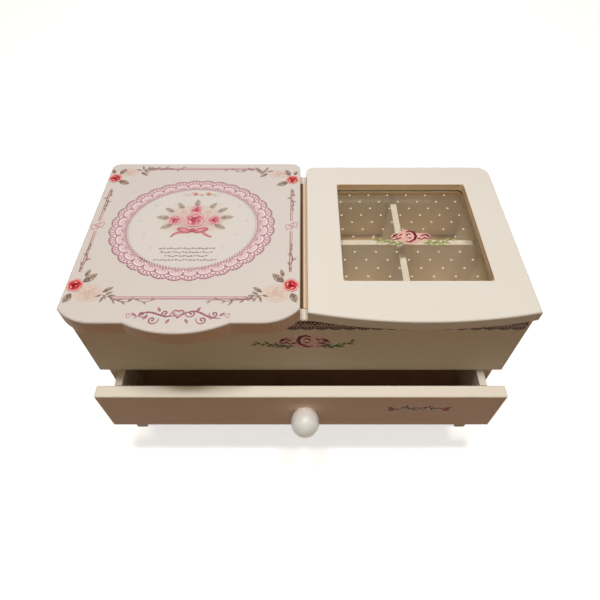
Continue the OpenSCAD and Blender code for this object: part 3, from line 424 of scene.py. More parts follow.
class Transfer:
    """One printed sheet. lay(x, y, lift) places a point of the drawing, in millimetres."""

    def __init__(self, name, lay):
        self.name, self.lay = name, lay
        self.points, self.faces, self.inks = [], [], []
        self.laid = 0

    def _height(self, layer):
        """Each layer lies a little higher, and a shape a hair off the last, so that none coincide."""
        self.laid += 1
        return 0.012 + 0.014 * layer + 0.0003 * (self.laid % 41)

    def patch(self, outline, rim, heart=None, layer=0):
        """A flat shape that shades from its middle, in the ink heart, to its rim."""
        area = sum(x0 * y1 - x1 * y0 for (x0, y0), (x1, y1) in zip(outline, outline[1:] + outline[:1]))
        outline = outline if area > 0 else outline[::-1]
        lift, first, count = self._height(layer), len(self.points), len(outline)
        middle = (sum(x for x, y in outline) / count, sum(y for x, y in outline) / count)
        self.points += [self.lay(x, y, lift) for x, y in [middle] + outline]
        for i in range(count):
            self.faces.append((first, first + 1 + i, first + 1 + (i + 1) % count))
            self.inks += [heart or rim, rim, rim]

    def line(self, path, width, ink, layer=1, taper=0.0, far_ink=None):
        """A stroke along the path; taper is how much it thins towards both ends."""
        lift, first, last = self._height(layer), len(self.points), len(path) - 1
        for i, (x, y) in enumerate(path):
            (x0, y0), (x1, y1) = path[max(i - 1, 0)], path[min(i + 1, last)]
            run = math.hypot(x1 - x0, y1 - y0) or 1.0
            half = width / 2 * (1 - taper * abs(2 * i / last - 1) ** 2)
            across = (-(y1 - y0) / run * half, (x1 - x0) / run * half)
            self.points += [self.lay(x + across[0], y + across[1], lift),
                            self.lay(x - across[0], y - across[1], lift)]
        for i in range(last):
            a = first + 2 * i
            self.faces.append((a, a + 1, a + 3, a + 2))
            near, far = (ink if not far_ink else tuple(
                p + (q - p) * t / last for p, q in zip(ink, far_ink)) for t in (i, i + 1))
            self.inks += [near, near, far, far]

    def dot(self, x, y, radius, ink, layer=1, heart=None):
        self.patch(ellipse(x, y, radius, radius, count=8), ink, heart, layer)

    def press(self, body, under, ink_finish):
        mesh = bpy.data.meshes.new(self.name)
        mesh.from_pydata([Vector(p) * MM for p in self.points], [], self.faces)
        layer = mesh.color_attributes.new("ink", "FLOAT_COLOR", "CORNER")
        layer.data.foreach_set("color", [part for ink in self.inks for part in ink])
        mesh.materials.append(ink_finish.material)
        piece = bpy.data.objects.new(self.name, mesh)
        bpy.context.scene.collection.objects.link(piece)
        worked(piece, "SOLIDIFY", thickness=under * MM, offset=-1)
        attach(piece, body)


def turned(x, y, turn):
    """Carries a small drawing to x, y, turned by so many degrees: takes its points one by one."""
    across, up = math.cos(math.radians(turn)), math.sin(math.radians(turn))
    return lambda u, v: (x + u * across - v * up, y + u * up + v * across)


def ellipse(x, y, a, b, turn=0.0, count=24):
    at = turned(x, y, turn)
    angles = [2 * math.pi * i / count for i in range(count)]
    return [at(a * math.cos(angle), b * math.sin(angle)) for angle in angles]


def sway(start, end, bend=0.0, waves=0.0, swing=0.0, count=16):
    """A path between two points that bows by bend and swings to and fro."""
    (x0, y0), (x1, y1) = start, end
    run = math.hypot(x1 - x0, y1 - y0)
    side = (-(y1 - y0) / run, (x1 - x0) / run)
    made = []
    for i in range(count):
        t = i / (count - 1)
        off = bend * 4 * t * (1 - t) + swing * math.sin(2 * math.pi * waves * t)
        made.append((x0 + (x1 - x0) * t + side[0] * off, y0 + (y1 - y0) * t + side[1] * off))
    return made


def leaf(sheet, x, y, length, width, turn, pale, deep, layer=2):
    """A pointed leaf from its stalk at x, y, with a midrib and two pairs of veins."""
    at = turned(x, y, turn)
    edge = [(0, 0), (0.16, 0.55), (0.38, 0.95), (0.58, 0.92), (0.8, 0.5), (1, 0),
            (0.8, -0.42), (0.58, -0.8), (0.38, -0.88), (0.16, -0.5)]
    middle = tuple((a + b) / 2 for a, b in zip(pale, deep))
    sheet.patch([at(u * length, v * width / 2) for u, v in edge], middle, pale, layer)
    shaded = [(0, 0), (0.16, 0.5), (0.36, 0.72), (0.5, 0.2), (0.42, -0.3), (0.3, -0.75), (0.14, -0.45)]
    sheet.patch([at(u * length, v * width / 2) for u, v in shaded], deep, middle, layer + 1)
    sheet.line([at(u * length, 0) for u in (0.02, 0.35, 0.65, 0.95)], width * 0.09, deep, layer + 2, 0.5)
    for u in (0.5, 0.66):
        for side in (-1, 1):
            sheet.line([at(u * length, 0), at((u + 0.12) * length, side * width * 0.3)], width * 0.06,
                       deep, layer + 2)


def rose(sheet, x, y, size, turn, inks, layer=3, flat=1.0):
    """A full-blown rose: three rings of cupped petals round a curled heart."""
    deep, full, pale, light = inks

    def at(radius, angle):
        a = math.radians(angle + turn)
        return (x + radius * math.cos(a), y + flat * radius * math.sin(a))

    petals = ((5, 0.58, 0.48, 0.36, light, full), (5, 0.36, 0.4, 0.3, pale, deep),
              (3, 0.16, 0.28, 0.2, full, deep))
    for ring, (count, out, wide, tall, rim, heart) in enumerate(petals):
        for k in range(count):
            angle = 360 / count * k + 31 * ring
            cx, cy = at(out * size, angle)
            shape = [(px, cy + flat * (py - cy)) for px, py in
                     ellipse(cx, cy, tall * size, wide * size, angle + turn, 12)]
            sheet.patch(shape, deep, None, layer + 2 * ring)
            inner = [(cx + 0.92 * (px - cx) + 0.03 * size * math.cos(math.radians(angle + turn)),
                      cy + 0.92 * (py - cy)) for px, py in shape]
            sheet.patch(inner, rim, heart, layer + 2 * ring + 1)
    sheet.line([at(size * (0.26 - 0.015 * i), 34 * i) for i in range(15)], size * 0.07, deep, layer + 7, 0.6)
    for out, angle, wide in ((0.40, 80, 0.15), (0.44, 205, 0.12), (0.22, 320, 0.10)):
        curve = [at(out * size, angle + a) for a in (-32, -11, 11, 32)]
        sheet.line(curve, size * wide, light, layer + 6, 0.9)
    for angle in (20, 140, 255):
        sheet.line([at(0.52 * size, angle - 24), at(0.6 * size, angle), at(0.52 * size, angle + 24)],
                   size * 0.06, deep, layer + 7, 0.9)


def rose_spray(sheet, x, y, reach, tall, inks, flip=1):
    """Three loose roses side by side: pale petals washed in, then drawn with a few full strokes."""
    deep, full, pale = inks

    def at(u, v):
        return (x + flip * u * reach, y + v * reach * tall)

    for u, v, a, b in (
            (-0.62, 0.0, 0.34, 0.15), (-0.34, -0.02, 0.26, 0.17), (0.62, -0.01, 0.36, 0.15),
            (0.36, 0.02, 0.26, 0.19), (0.14, 0.14, 0.34, 0.13), (0.1, -0.14, 0.42, 0.13),
            (0.0, 0.0, 0.34, 0.25)):
        sheet.patch([at(u + du, v + dv) for du, dv in ellipse(0, 0, a, b, count=20)], pale, full, 5)
    for path, width in (
            # the middle rose: its curled rim, the two petals of its heart and the fold below
            (((0.24, 0.17), (0.04, 0.22), (-0.16, 0.17), (-0.24, 0.02), (-0.14, -0.12), (0.08, -0.16)),
             0.085),
            (((-0.04, 0.05), (0.06, 0.11), (0.17, 0.09), (0.22, 0.0)), 0.05),
            (((-0.04, -0.02), (0.08, -0.06), (0.2, -0.03)), 0.045),
            (((-0.08, -0.17), (0.12, -0.21), (0.34, -0.17)), 0.05),
            # the left rose
            (((-0.93, -0.06), (-0.8, 0.06), (-0.6, 0.11)), 0.075),
            (((-0.88, -0.1), (-0.66, -0.04), (-0.5, -0.1)), 0.06),
            (((-0.5, -0.12), (-0.38, -0.06), (-0.27, -0.08)), 0.06),
            (((-0.7, 0.02), (-0.56, 0.05), (-0.46, 0.0)), 0.05),
            # the right rose
            (((0.6, 0.11), (0.78, 0.05), (0.93, -0.05)), 0.075),
            (((0.46, -0.04), (0.66, -0.08), (0.88, -0.12)), 0.055),
            (((0.4, 0.1), (0.5, 0.07), (0.58, 0.02)), 0.05),
            (((0.62, 0.02), (0.7, -0.01), (0.8, -0.04)), 0.04)):
        sheet.line([at(u, v) for u, v in path], width * reach * (1 + tall) * 0.66, deep, 8, 0.7)


def twig(sheet, path, width, wood, pale, every=3, length=2.6, layer=1, start=0):
    """A thin woody stem with small leaves in turn on either side."""
    sheet.line(path, width, wood, layer, 0.5)
    for i in range(1 + start, len(path) - 1, every):
        (x0, y0), (x1, y1) = path[i - 1], path[i + 1]
        along = math.degrees(math.atan2(y1 - y0, x1 - x0))
        side = 1 if (i // every) % 2 else -1
        leaf(sheet, *path[i], length * (0.8 + 0.2 * (i % 3)), length * 0.42, along + side * 38,
             pale, wood, layer + 1)


def scroll(sheet, x, y, size, turn, ink, width, curls, flip=1, layer=2):
    """A curled tendril that opens out from its eye."""
    path = []
    for i in range(26):
        t = i / 25
        a = math.radians(turn) + flip * (1 - t) * curls * 2 * math.pi
        r = size * (0.12 + 0.88 * t ** 1.3)
        path.append((x + r * math.cos(a), y + r * math.sin(a)))
    sheet.line(path, width, ink, layer, 0.55)
    sheet.dot(*path[0], width * 0.75, ink, layer + 1)


def heart_line(x, y, size, turn=0.0):
    """The outline of a heart, point down before it is turned."""
    at, made = turned(x, y, turn), []
    for i in range(21):
        t = 2 * math.pi * i / 20
        rise = (13 * math.cos(t) - 5 * math.cos(2 * t) - 2 * math.cos(3 * t) - math.cos(4 * t)) / 16
        made.append(at(size * math.sin(t) ** 3, size * rise))
    return made


def mirrored(turn, side):
    """The same turn, seen in a mirror where side is -1."""
    return turn if side > 0 else 180 - turn


def lace(sheet, place, repeats, pitch, depth, inks):
    """Scalloped lace. place(s, v) takes a count of scallops along and millimetres from the heading.

    Each scallop has a brow along its rim, an arch inside it and net halfway between the two.
    """
    ground, thread, knot, bead, fan = inks
    mark = depth / 11
    for i in range(repeats):
        def at(u, v):
            return place(i + 0.5 + u / pitch, v * depth)

        def brow(t, out=0.0):
            return ((t - 0.5) * pitch, 0.80 + out + 0.15 * math.sin(math.pi * t) ** 0.8)

        def arch(t, rise=0.0):
            return (-(0.48 - rise * 0.5) * math.cos(math.pi * t) * pitch,
                    0.30 + (0.34 - rise) * math.sin(math.pi * t) ** 0.7)

        def net(t):
            (u, v), (x, y) = arch(t), brow(t)
            return at((u + x) / 2, (v + y) / 2)

        sheet.patch([at(-pitch / 2, 0.02), at(0, 0.02), at(pitch / 2, 0.02)]
                    + [at(*brow(1 - k / 8)) for k in range(9)], ground, ground, 0)
        sheet.patch([at(*arch(k / 12, 0.03)) for k in range(13)], fan, fan, 1)
        sheet.line([at(*arch(k / 12)) for k in range(13)], 0.62 * mark, thread, 4)
        sheet.line([at(*arch(k / 12, 0.08)) for k in range(1, 12)], 0.9 * mark, bead, 3)
        # the net outside the arch: a row of holes between knots, and a picot edge
        for k in range(5):
            sheet.dot(*net((k + 0.5) / 5), 0.62 * mark, bead, 2)
            sheet.dot(*at(*brow((k + 0.5) / 5, 0.045)), 0.5 * mark, thread, 1)
        for k in range(5):
            sheet.dot(*net(k / 5), 0.5 * mark, knot, 3)
            sheet.dot(*at(*brow(k / 5, 0.03)), 0.62 * mark, knot, 3)
        # the fan inside it: spokes with a bead between each pair
        for k in range(5):
            a = math.radians(-72 + 36 * k)
            spoke = [at(reach * depth * math.sin(a), 0.12 + rise * math.cos(a))
                     for reach, rise in ((0.07, 0.07), (0.28, 0.29))]
            sheet.line(spoke, 0.55 * mark, thread, 4, 0.5)
        for k in range(4):
            a = math.radians(-54 + 36 * k)
            sheet.dot(*at(0.24 * depth * math.sin(a), 0.12 + 0.25 * math.cos(a)), 0.5 * mark, bead, 5)
        sheet.dot(*at(pitch / 2, 0.24), 0.6 * mark, bead, 4)
        sheet.dot(*at(pitch / 2, 0.42), 0.5 * mark, knot, 4)
        for k in range(4):
            u = ((k + 0.5) / 4 - 0.5) * pitch
            sheet.dot(*at(u, 0.05), 0.58 * mark, knot, 5)
            sheet.dot(*at(u + pitch / 8, -0.055), 0.44 * mark, thread, 3)


def inked(name, roughness):
    """Ink takes its colour from the drawing, broken up by the faint grain of the paint below."""
    finish = Finish(name, Roughness=roughness, Specular_IOR_Level=0.1)
    grain = finish.noise(1500, 2)
    worn = ((grain - 0.58) * 3).clipped() * 0.35
    finish.set("Base Color", finish.blend(worn, finish.drawn(), shade(226, 213, 204)))
    finish.bump(grain, 0.01 * MM)
    return finish


print_ink = inked("print_ink", 0.42)
# how deep a transfer sits in the paint, in millimetres
SUNK = 0.18

# ---- Left lid's print ----
# An oval of cream inside a ring of mauve lace, roses in the corners joined by ruled lines and
# twigs, a posy in the middle with a garland above it, and a scroll on the lobe.
lid_print = Transfer("left_lid_print", lambda x, y, lift: (x, y, LID_TOP + lift))
OVAL, OVAL_IN, OVAL_OUT = (-73.1, 8.8), (43.5, 38.5), (55.5, 48.5)
OVAL_MID = [(inner + outer) / 2 for inner, outer in zip(OVAL_IN, OVAL_OUT)]
SCALLOPS, RING_DEPTH, STEPS = 32, 11.0, 720
RED_ROSE = (shade(122, 6, 26), shade(196, 26, 46), shade(232, 84, 96), shade(248, 190, 180))
PEACH_ROSE = (shade(212, 180, 170), shade(219, 196, 186), shade(224, 208, 198), shade(222, 207, 198))
PINK_ROSE = (shade(164, 44, 72), shade(210, 104, 124), shade(236, 172, 178), shade(232, 200, 200))
GREY_LEAF, BROWN_LEAF = shade(208, 188, 176), shade(112, 90, 78)

lid_print.patch(ellipse(*OVAL, OVAL_IN[0] + 0.8, OVAL_IN[1] + 0.8, count=72), shade(221, 215, 212),
                shade(223, 217, 214))
# how far round the ring's middle line each small step of angle comes
lengths = [0.0]
middle_line = ellipse(0, 0, *OVAL_MID, count=STEPS)
for here, there in zip(middle_line, middle_line[1:] + middle_line[:1]):
    lengths.append(lengths[-1] + math.dist(here, there))


def round_oval(s, v):
    """A point of the ring: s scallops along its middle line, v millimetres out from its inner edge."""
    want = (s / SCALLOPS % 1.0) * lengths[-1]
    low = next((k for k in range(STEPS) if lengths[k + 1] >= want), 0)
    angle = 2 * math.pi * (low + (want - lengths[low]) / (lengths[low + 1] - lengths[low])) / STEPS
    across, along = (inner + (outer - inner) * v / RING_DEPTH for inner, outer in zip(OVAL_IN, OVAL_OUT))
    return (OVAL[0] + across * math.cos(angle), OVAL[1] + along * math.sin(angle))


MAUVE_LACE = (shade(216, 184, 191), shade(178, 124, 143), shade(154, 102, 123), shade(241, 226, 226),
              shade(226, 200, 206))
lace(lid_print, round_oval, SCALLOPS, lengths[-1] / SCALLOPS, RING_DEPTH, MAUVE_LACE)

for x, y, size, turn, inks, flat in (
        (-137.2, -43.2, 5.6, 10, RED_ROSE, 1.0), (-5.9, -43.2, 5.6, 80, RED_ROSE, 1.0),
        (-137.4, 60.4, 5.4, 40, RED_ROSE, 1.0), (-6.2, 58.6, 5.4, 120, RED_ROSE, 1.0),
        (-127.6, -49.4, 9.6, 25, PEACH_ROSE, 0.78), (-14.8, -49.4, 9.6, 65, PEACH_ROSE, 0.78),
        (-128.6, 67.6, 8.6, 15, PEACH_ROSE, 0.6), (-15.8, 65.6, 8.6, 95, PEACH_ROSE, 0.6)):
    rose(lid_print, x, y, size, turn, inks, 3 if inks is PEACH_ROSE else 12, flat)
for x, y, length, width, turn in (
        (-133.0, -41.0, 10.4, 5.8, 44), (-137.6, -49.6, 8.0, 5.4, -112), (-132.8, -36.2, 6.2, 3.2, 74),
        (-10.2, -41.0, 10.4, 5.8, 136), (-5.6, -49.4, 8.0, 5.4, -68), (-10.6, -36.2, 6.2, 3.2, 106),
        (-134.4, 57.4, 9.6, 5.6, -24), (-135.0, 65.2, 7.6, 5.0, 62), (-139.4, 66.0, 5.6, 3.6, 112),
        (-9.2, 56.0, 9.6, 5.6, 204), (-8.4, 63.4, 7.6, 5.0, 110), (-4.7, 64.0, 5.2, 3.4, 68)):
    leaf(lid_print, x, y, length, width, turn, GREY_LEAF, BROWN_LEAF, 8)

TWIG = shade(134, 100, 98)
SPRIG = ((0.6, 1.6, 7.2, 3.4, 36), (2.8, -0.2, 4.8, 2.0, 30), (0.4, -0.6, 4.4, 2.0, 196),
         (4.6, -1.2, 4.6, 1.9, 6), (1.8, -1.8, 4.6, 2.0, -104), (5.8, -1.8, 4.6, 1.9, -44))
# a sprig at each end of the near and the far border, with two twigs that run in along it
for x, y, side, border, away, dip, fall in (
        (-119.6, -50.4, 1, -53.1, -1, 2.4, 1.6), (-22.6, -50.4, -1, -53.1, -1, 2.4, 1.6),
        (-120.4, 69.2, 1, 72.0, 1, 0.0, -0.96), (-24.2, 67.6, -1, 70.4, 1, 0.0, -0.96)):
    for dx, dy, length, width, turn in SPRIG:
        leaf(lid_print, x + side * dx, y - away * dy, length, width, mirrored(-away * turn, side),
             GREY_LEAF, BROWN_LEAF, 5)
    outer = sway((x, y), (x + side * 19, border - dip), 1.4 * side * away, 1.0, 0.7, 13)
    twig(lid_print, outer, 0.55, TWIG, GREY_LEAF, 2, 4.0)
    inner = sway((x + side * 16, border - 0.6), (x + side * 34, border - fall), -1.0 * side, 1.2, 0.8, 13)
    twig(lid_print, inner, 0.45, TWIG, GREY_LEAF, 3, 3.0)

# two ruled lines with a paler band between them along each side, and down the left and right
# sides also twigs and a pair of hearts halfway
RULED_ACROSS = ((0.85, 0.5, shade(176, 116, 134), 1), (-0.75, 0.75, shade(178, 120, 138), 1),
                (0.0, 1.3, shade(222, 196, 196), 0))
RULED_DOWN = ((-0.7, 0.55, shade(158, 110, 114), 1), (0.6, 0.45, shade(186, 140, 144), 1),
              (0.0, 0.9, shade(222, 200, 196), 0))
for y, x0, x1 in ((-53.1, -112.0, -29.6), (71.6, -113.0, -32.0)):
    for off, width, ink, layer in RULED_ACROSS:
        lid_print.line([(x0, y + off), (x1, y + off)], width, ink, layer)
for x in (-137.2, -6.3):
    for y0, y1 in ((14.2, 48.0), (4.0, -32.5)):
        for off, width, ink, layer in RULED_DOWN:
            lid_print.line([(x + off, y0), (x + off, y1)], width, ink, layer)
        stem = sway((x, y1), (x + 0.4, y0 + (y1 - y0) * 0.35), 0.0, 1.6, 1.0, 18)
        twig(lid_print, stem, 0.6, TWIG, GREY_LEAF, 3, 3.6, 2)
    for turn, shift in ((28, 1.8), (-28, -1.8)):
        for size, width, ink in ((2.9, 0.45, shade(192, 130, 142)), (1.7, 0.2, shade(222, 178, 180))):
            lid_print.line(heart_line(x + shift, 9.0 + shift * 0.6, size, turn), width, ink, 3)
    lid_print.line(sway((x, 13.6), (x, 4.2), 0.9, 1.0, 0.6), 0.3, shade(196, 150, 154), 2)

# the posy: a soft pink bloom of colour, leaves, six roses and a bow with two tails
POSY = (-72.6, 14.8)
for size, edge, core in ((1.0, 0.0, 0.45), (0.8, 0.3, 0.75), (0.55, 0.65, 1.0)):
    lid_print.patch(ellipse(POSY[0], POSY[1] + 1.0, 26 * size, 17.5 * size, count=40),
                    shade(221 - 10 * edge, 215 - 42 * edge, 208 - 34 * edge),
                    shade(221 - 10 * core, 215 - 42 * core, 208 - 34 * core), 1)
for x, y, length, width, turn in (
        (-17, 2, 10, 5.2, 172), (-14, -4, 9.4, 4.8, 208), (17, 2, 10, 5.2, 8),
        (14, -4.5, 9.4, 4.8, -28), (-9, 11, 8.6, 4.6, 122), (9, 11, 8.6, 4.6, 58),
        (0, 13.5, 8.4, 4.6, 90), (-15, 8, 8.4, 4.4, 146), (15, 8, 8.4, 4.4, 34)):
    leaf(lid_print, POSY[0] + x, POSY[1] + y, length, width, turn,
         shade(212, 200, 190), shade(150, 128, 120), 3)
for x, y, size, turn, inks in (
        (-13.4, 0.0, 5.4, 0, PINK_ROSE), (13.4, 0.0, 5.4, 40, PINK_ROSE),
        (-8.6, 7.6, 5.4, 70, PEACH_ROSE), (8.6, 7.8, 5.4, 20, PEACH_ROSE),
        (0.0, 10.4, 5.0, 50, PINK_ROSE), (0.0, 0.4, 8.2, 15, PINK_ROSE)):
    rose(lid_print, POSY[0] + x, POSY[1] + y, size, turn, inks, 9 if size < 6 else 18)
BOW = (POSY[0], POSY[1] - 10.0)
for side in (-1, 1):
    loop = ellipse(BOW[0] + side * 5.6, BOW[1], 5.2, 2.3, side * 18, 16)
    lid_print.patch(loop, shade(186, 92, 112), shade(230, 166, 174), 20)
    tail = sway((BOW[0], BOW[1] - 0.4), (BOW[0] + side * 13.5, BOW[1] - 6.4), side * 1.4, 1.0, 1.0)
    lid_print.line(tail, 1.7, shade(220, 146, 156), 19, 0.4, shade(196, 112, 130))
lid_print.dot(*BOW, 1.8, shade(160, 66, 88), 21, shade(206, 128, 140))

# the garland over it
GARLAND_X = -70.8
BUD = (shade(170, 96, 84), shade(206, 140, 124), shade(226, 184, 170), shade(232, 204, 190))
for side in (-1, 1):
    scroll(lid_print, GARLAND_X + side * 12.4, 41.0, 2.3, 90 - side * 60,
           shade(196, 176, 168), 0.34, 1.2, side)
    stem = sway((GARLAND_X + side * 1.5, 41.6), (GARLAND_X + side * 10.4, 40.2), side * 1.6, 1, 0.4, 11)
    twig(lid_print, stem, 0.36, shade(188, 158, 150), shade(214, 196, 184), 2, 2.2, 2)
    rose(lid_print, GARLAND_X + side * 4.6, 42.2, 2.3, 40 * side, BUD, 6)
lid_print.line(heart_line(GARLAND_X, 41.0, 1.2), 0.3, shade(176, 120, 108), 8)

# four rows of small vine under it: leaves, dots and hearts in turn along a swaying stem
VINE_X = -73.6
for row, (half, y) in enumerate(((18.4, -11.9), (17.0, -15.3), (14.2, -18.6), (20.4, -22.1))):
    tone = shade(150, 118, 118) if row % 2 else shade(132, 108, 108)
    count = int(half * 0.9)
    for k in range(count):
        x = VINE_X - half + 2 * half * (k + 0.5) / count
        kind = (k * 5 + row * 3) % 4
        if kind < 2:
            leaf(lid_print, x - 0.8, y - 0.4, 2.0, 1.0, 34 if kind else -20, shade(204, 188, 182), tone, 2)
        elif kind == 2:
            lid_print.dot(x, y, 0.42, tone, 3)
        else:
            lid_print.line(heart_line(x, y, 0.7), 0.26, tone, 3)
    stem = sway((VINE_X - half, y - 0.3), (VINE_X + half, y - 0.3), 0, half / 3.2, 0.35, 60)
    lid_print.line(stem, 0.32, tone, 2)

# faint hearts strewn over the rest of the oval
for k, (x, y) in enumerate((
        (-101.5, 29.6), (-88.0, 31.2), (-56.5, 31.2), (-43.0, 29.4), (-109.4, 13.8),
        (-36.6, 13.8), (-104.0, 0.8), (-42.6, 0.8), (-97.2, -11.4), (-50.2, -11.4))):
    lid_print.line(heart_line(x, y, 1.0, 12 * (k % 3 - 1)), 0.3, shade(202, 192, 186), 2)

# the scroll on the lobe
LOBE_X = -71.0
PLUM, PLUM_LIGHT = shade(160, 104, 120), shade(200, 150, 160)
for side in (-1, 1):
    stem = sway((LOBE_X + side * 1.6, -66.4), (LOBE_X + side * 25.0, -68.2), side * 2.8, 1.0, 1.7, 30)
    lid_print.line(stem, 1.25, PLUM, 3, 0.7)
    for out, y, size, width in ((7.4, -64.4, 3.5, 0.95), (14.2, -69.2, 3.6, 0.95), (20.8, -65.0, 3.0, 0.85)):
        scroll(lid_print, LOBE_X + side * out, y, size, 90 + side * 70, PLUM, width, 1.3, side, 3)
    for out, y, turn in ((10.6, -63.4, 62), (17.2, -66.0, -46), (24.0, -66.6, 40), (4.4, -68.4, -60)):
        leaf(lid_print, LOBE_X + side * out, y, 4.2, 1.9, mirrored(turn, side), PLUM_LIGHT, PLUM, 4)
    lid_print.line(heart_line(LOBE_X + side * 28.6, -66.0, 1.7, side * 20), 0.5, PLUM_LIGHT, 3)
lid_print.line(heart_line(LOBE_X, -64.6, 3.2), 0.8, PLUM, 5)
lid_print.line(heart_line(LOBE_X, -64.4, 1.9), 0.45, PLUM_LIGHT, 5)
lid_print.press("left_lid", SUNK, print_ink)

# ---- Front panel's print ----
# A strip of dark lace hangs from the rim along the whole front, over a spray of three roses with
# moss green twigs. It is laid on the paint of the front panel.
PANEL_FACE, PANEL_TOP = span("front_panel", 1)[0], span("front_panel", 2)[1]
panel_print = Transfer("front_panel_print", lambda x, z, lift: (x, PANEL_FACE - lift, z))
STRIP, PITCH = 32, 8.7
DARK_LACE = (shade(78, 42, 40), shade(38, 12, 14), shade(30, 8, 8), shade(238, 212, 188), shade(80, 44, 40))
lace(panel_print, lambda s, v: ((s - STRIP / 2) * PITCH, PANEL_TOP - 1.3 - v), STRIP, PITCH, 9.0, DARK_LACE)
ROSY = (shade(84, 0, 14), shade(252, 218, 220), shade(240, 190, 196))
SPRING_LEAF, MOSS = shade(176, 190, 142), shade(50, 66, 34)
SPRAY_X = 2.0
for side in (-1, 1):
    upper = sway((SPRAY_X + side * 5, 128.2), (SPRAY_X + side * 33, 132.4), -side * 1.6, 1.3, 1.1, 22)
    twig(panel_print, upper, 0.62, MOSS, SPRING_LEAF, 2, 4.6, 2)
    lower = sway((SPRAY_X + side * 9, 127.4), (SPRAY_X + side * 24, 127.2), side * 0.8, 1.2, 0.6, 12)
    twig(panel_print, lower, 0.42, MOSS, SPRING_LEAF, 2, 3.4, 2)
rose_spray(panel_print, 2.4, 133.6, 17.5, 1.7, ROSY)
panel_print.press("case", SUNK, print_ink)

# ---- Drawer front's print ----
# One small sprig with two hearts, right of the knob, on a soft patch of cream. It is a transfer
# like the others, laid on the paint of the drawer's front.
DRAWER_FACE = span("drawer_front", 1)[0]
drawer_print = Transfer("drawer_print", lambda x, z, lift: (x, DRAWER_FACE - lift, z))
SPRIG_X = 84.0
WINE, INK = shade(120, 30, 36), shade(62, 38, 36)
drawer_print.patch(ellipse(SPRIG_X, 77.4, 15.5, 3.0), shade(226, 212, 196), shade(240, 232, 218), 1)
for side in (-1, 1):
    stem = sway((SPRIG_X + side * 1.5, 77.0), (SPRIG_X + side * 16, 76.4), side * 2.0, 1.2, 1.6, 16)
    twig(drawer_print, stem, 0.85, INK, shade(140, 108, 98), 3, 3.8, 2)
    for z, turn, length in ((76.4, 60, 6.6), (76.0, 112, 5.4), (76.6, 88, 5.0)):
        leaf(drawer_print, SPRIG_X + side * 17.0, z, length, 3.0, 90 - side * turn,
             shade(190, 84, 80), WINE, 4)
    drawer_print.line(heart_line(SPRIG_X + side * 2.9, 77.6, 2.6, side * 16), 0.75, WINE, 5)
    scroll(drawer_print, SPRIG_X + side * 9.4, 78.6, 2.6, 90 + side * 60, INK, 0.7, 1.1, side, 4)
drawer_print.press("drawer", SUNK, print_ink)

# ---- Pane's print ----
# White dots in a diamond pattern over the whole pane, and three pink roses with spring leaves in
# its middle, laid on the top face of the glass in a glossier ink.
PANE_TOP = span("glass_pane", 2)[1]
glass_ink = inked("glass_ink", 0.3)
pane_print = Transfer("pane_print", lambda x, y, lift: (x, y, PANE_TOP + lift))
DOTS_APART, ROWS_APART = 14.0, 7.26
for row in range(12):
    for column in range(9):
        x = 22.1 + DOTS_APART * (column - 1 + 0.5 * (row % 2))
        y = 50.7 - ROWS_APART * row
        inside_frame = 27.6 < x < 119.7 and -36.4 < y < 56.2
        from_spray = ((x - 76.0) / 22) ** 2 + ((y - 5.8) / 8.0) ** 2
        if inside_frame and from_spray > 1:
            pane_print.patch(ellipse(x, y, 0.72, 0.72, count=12), shade(228, 214, 194), None, 1)
SPRING, SPRING_DEEP = shade(222, 220, 172), shade(122, 130, 62)
TWIGS_X = 76.8
for side in (-1, 1):
    upper = sway((TWIGS_X + side * 6, 1.4), (TWIGS_X + side * 27, 4.6), -side * 1.5, 1.2, 0.9, 20)
    twig(pane_print, upper, 0.5, SPRING_DEEP, SPRING, 2, 4.6, 2)
    lower = sway((TWIGS_X + side * 7, -0.2), (TWIGS_X + side * 20, 1.2), side * 0.8, 1.0, 0.5, 12)
    twig(pane_print, lower, 0.4, SPRING_DEEP, SPRING, 2, 3.8, 2)
CORAL = (shade(112, 10, 30), shade(240, 200, 190), shade(228, 174, 164))
rose_spray(pane_print, 75.6, 7.0, 14.0, 1.8, CORAL, -1)
pane_print.press("right_lid", 0.1, glass_ink)

# ---- Ballerina ----
# A small resin dancer up on her toes with her arms in a ring, cast in one piece, smoothed and
# painted by hand. The pin through the block under her toes folds her down below the mirror.
(spin_low, spin_high), (pin_low, pin_high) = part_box("spindle"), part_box("fold_pin")
PIN = Vector((spin_low[0] + spin_high[0], pin_low[1] + pin_high[1], pin_low[2] + pin_high[2])) / 2 / MM
dancer_parts = []


def lying(x, y, z):
    """A point of the standing dancer, in millimetres from her pin, where it lies folded."""
    return (PIN + Vector((x, -z, y))) * MM


def swell(x, y, z, wide, deep=None, tall=None):
    """An egg of resin with these half sizes across, front to back and upwards."""
    bpy.ops.mesh.primitive_uv_sphere_add(segments=24, ring_count=16, radius=1, location=lying(x, y, z),
                                         scale=(wide * MM, (tall or wide) * MM, (deep or wide) * MM))
    dancer_parts.append(bpy.context.object)


def limb(start, end, first, last):
    """A tapered limb with round ends."""
    low, high = lying(*start), lying(*end)
    bpy.ops.mesh.primitive_cone_add(vertices=24, radius1=first * MM, radius2=last * MM,
                                    depth=(high - low).length, location=(low + high) / 2,
                                    rotation=(high - low).to_track_quat("Z", "Y").to_euler())
    dancer_parts.append(bpy.context.object)
    swell(*start, first)
    swell(*end, last)


bpy.ops.object.select_all(action="DESELECT")
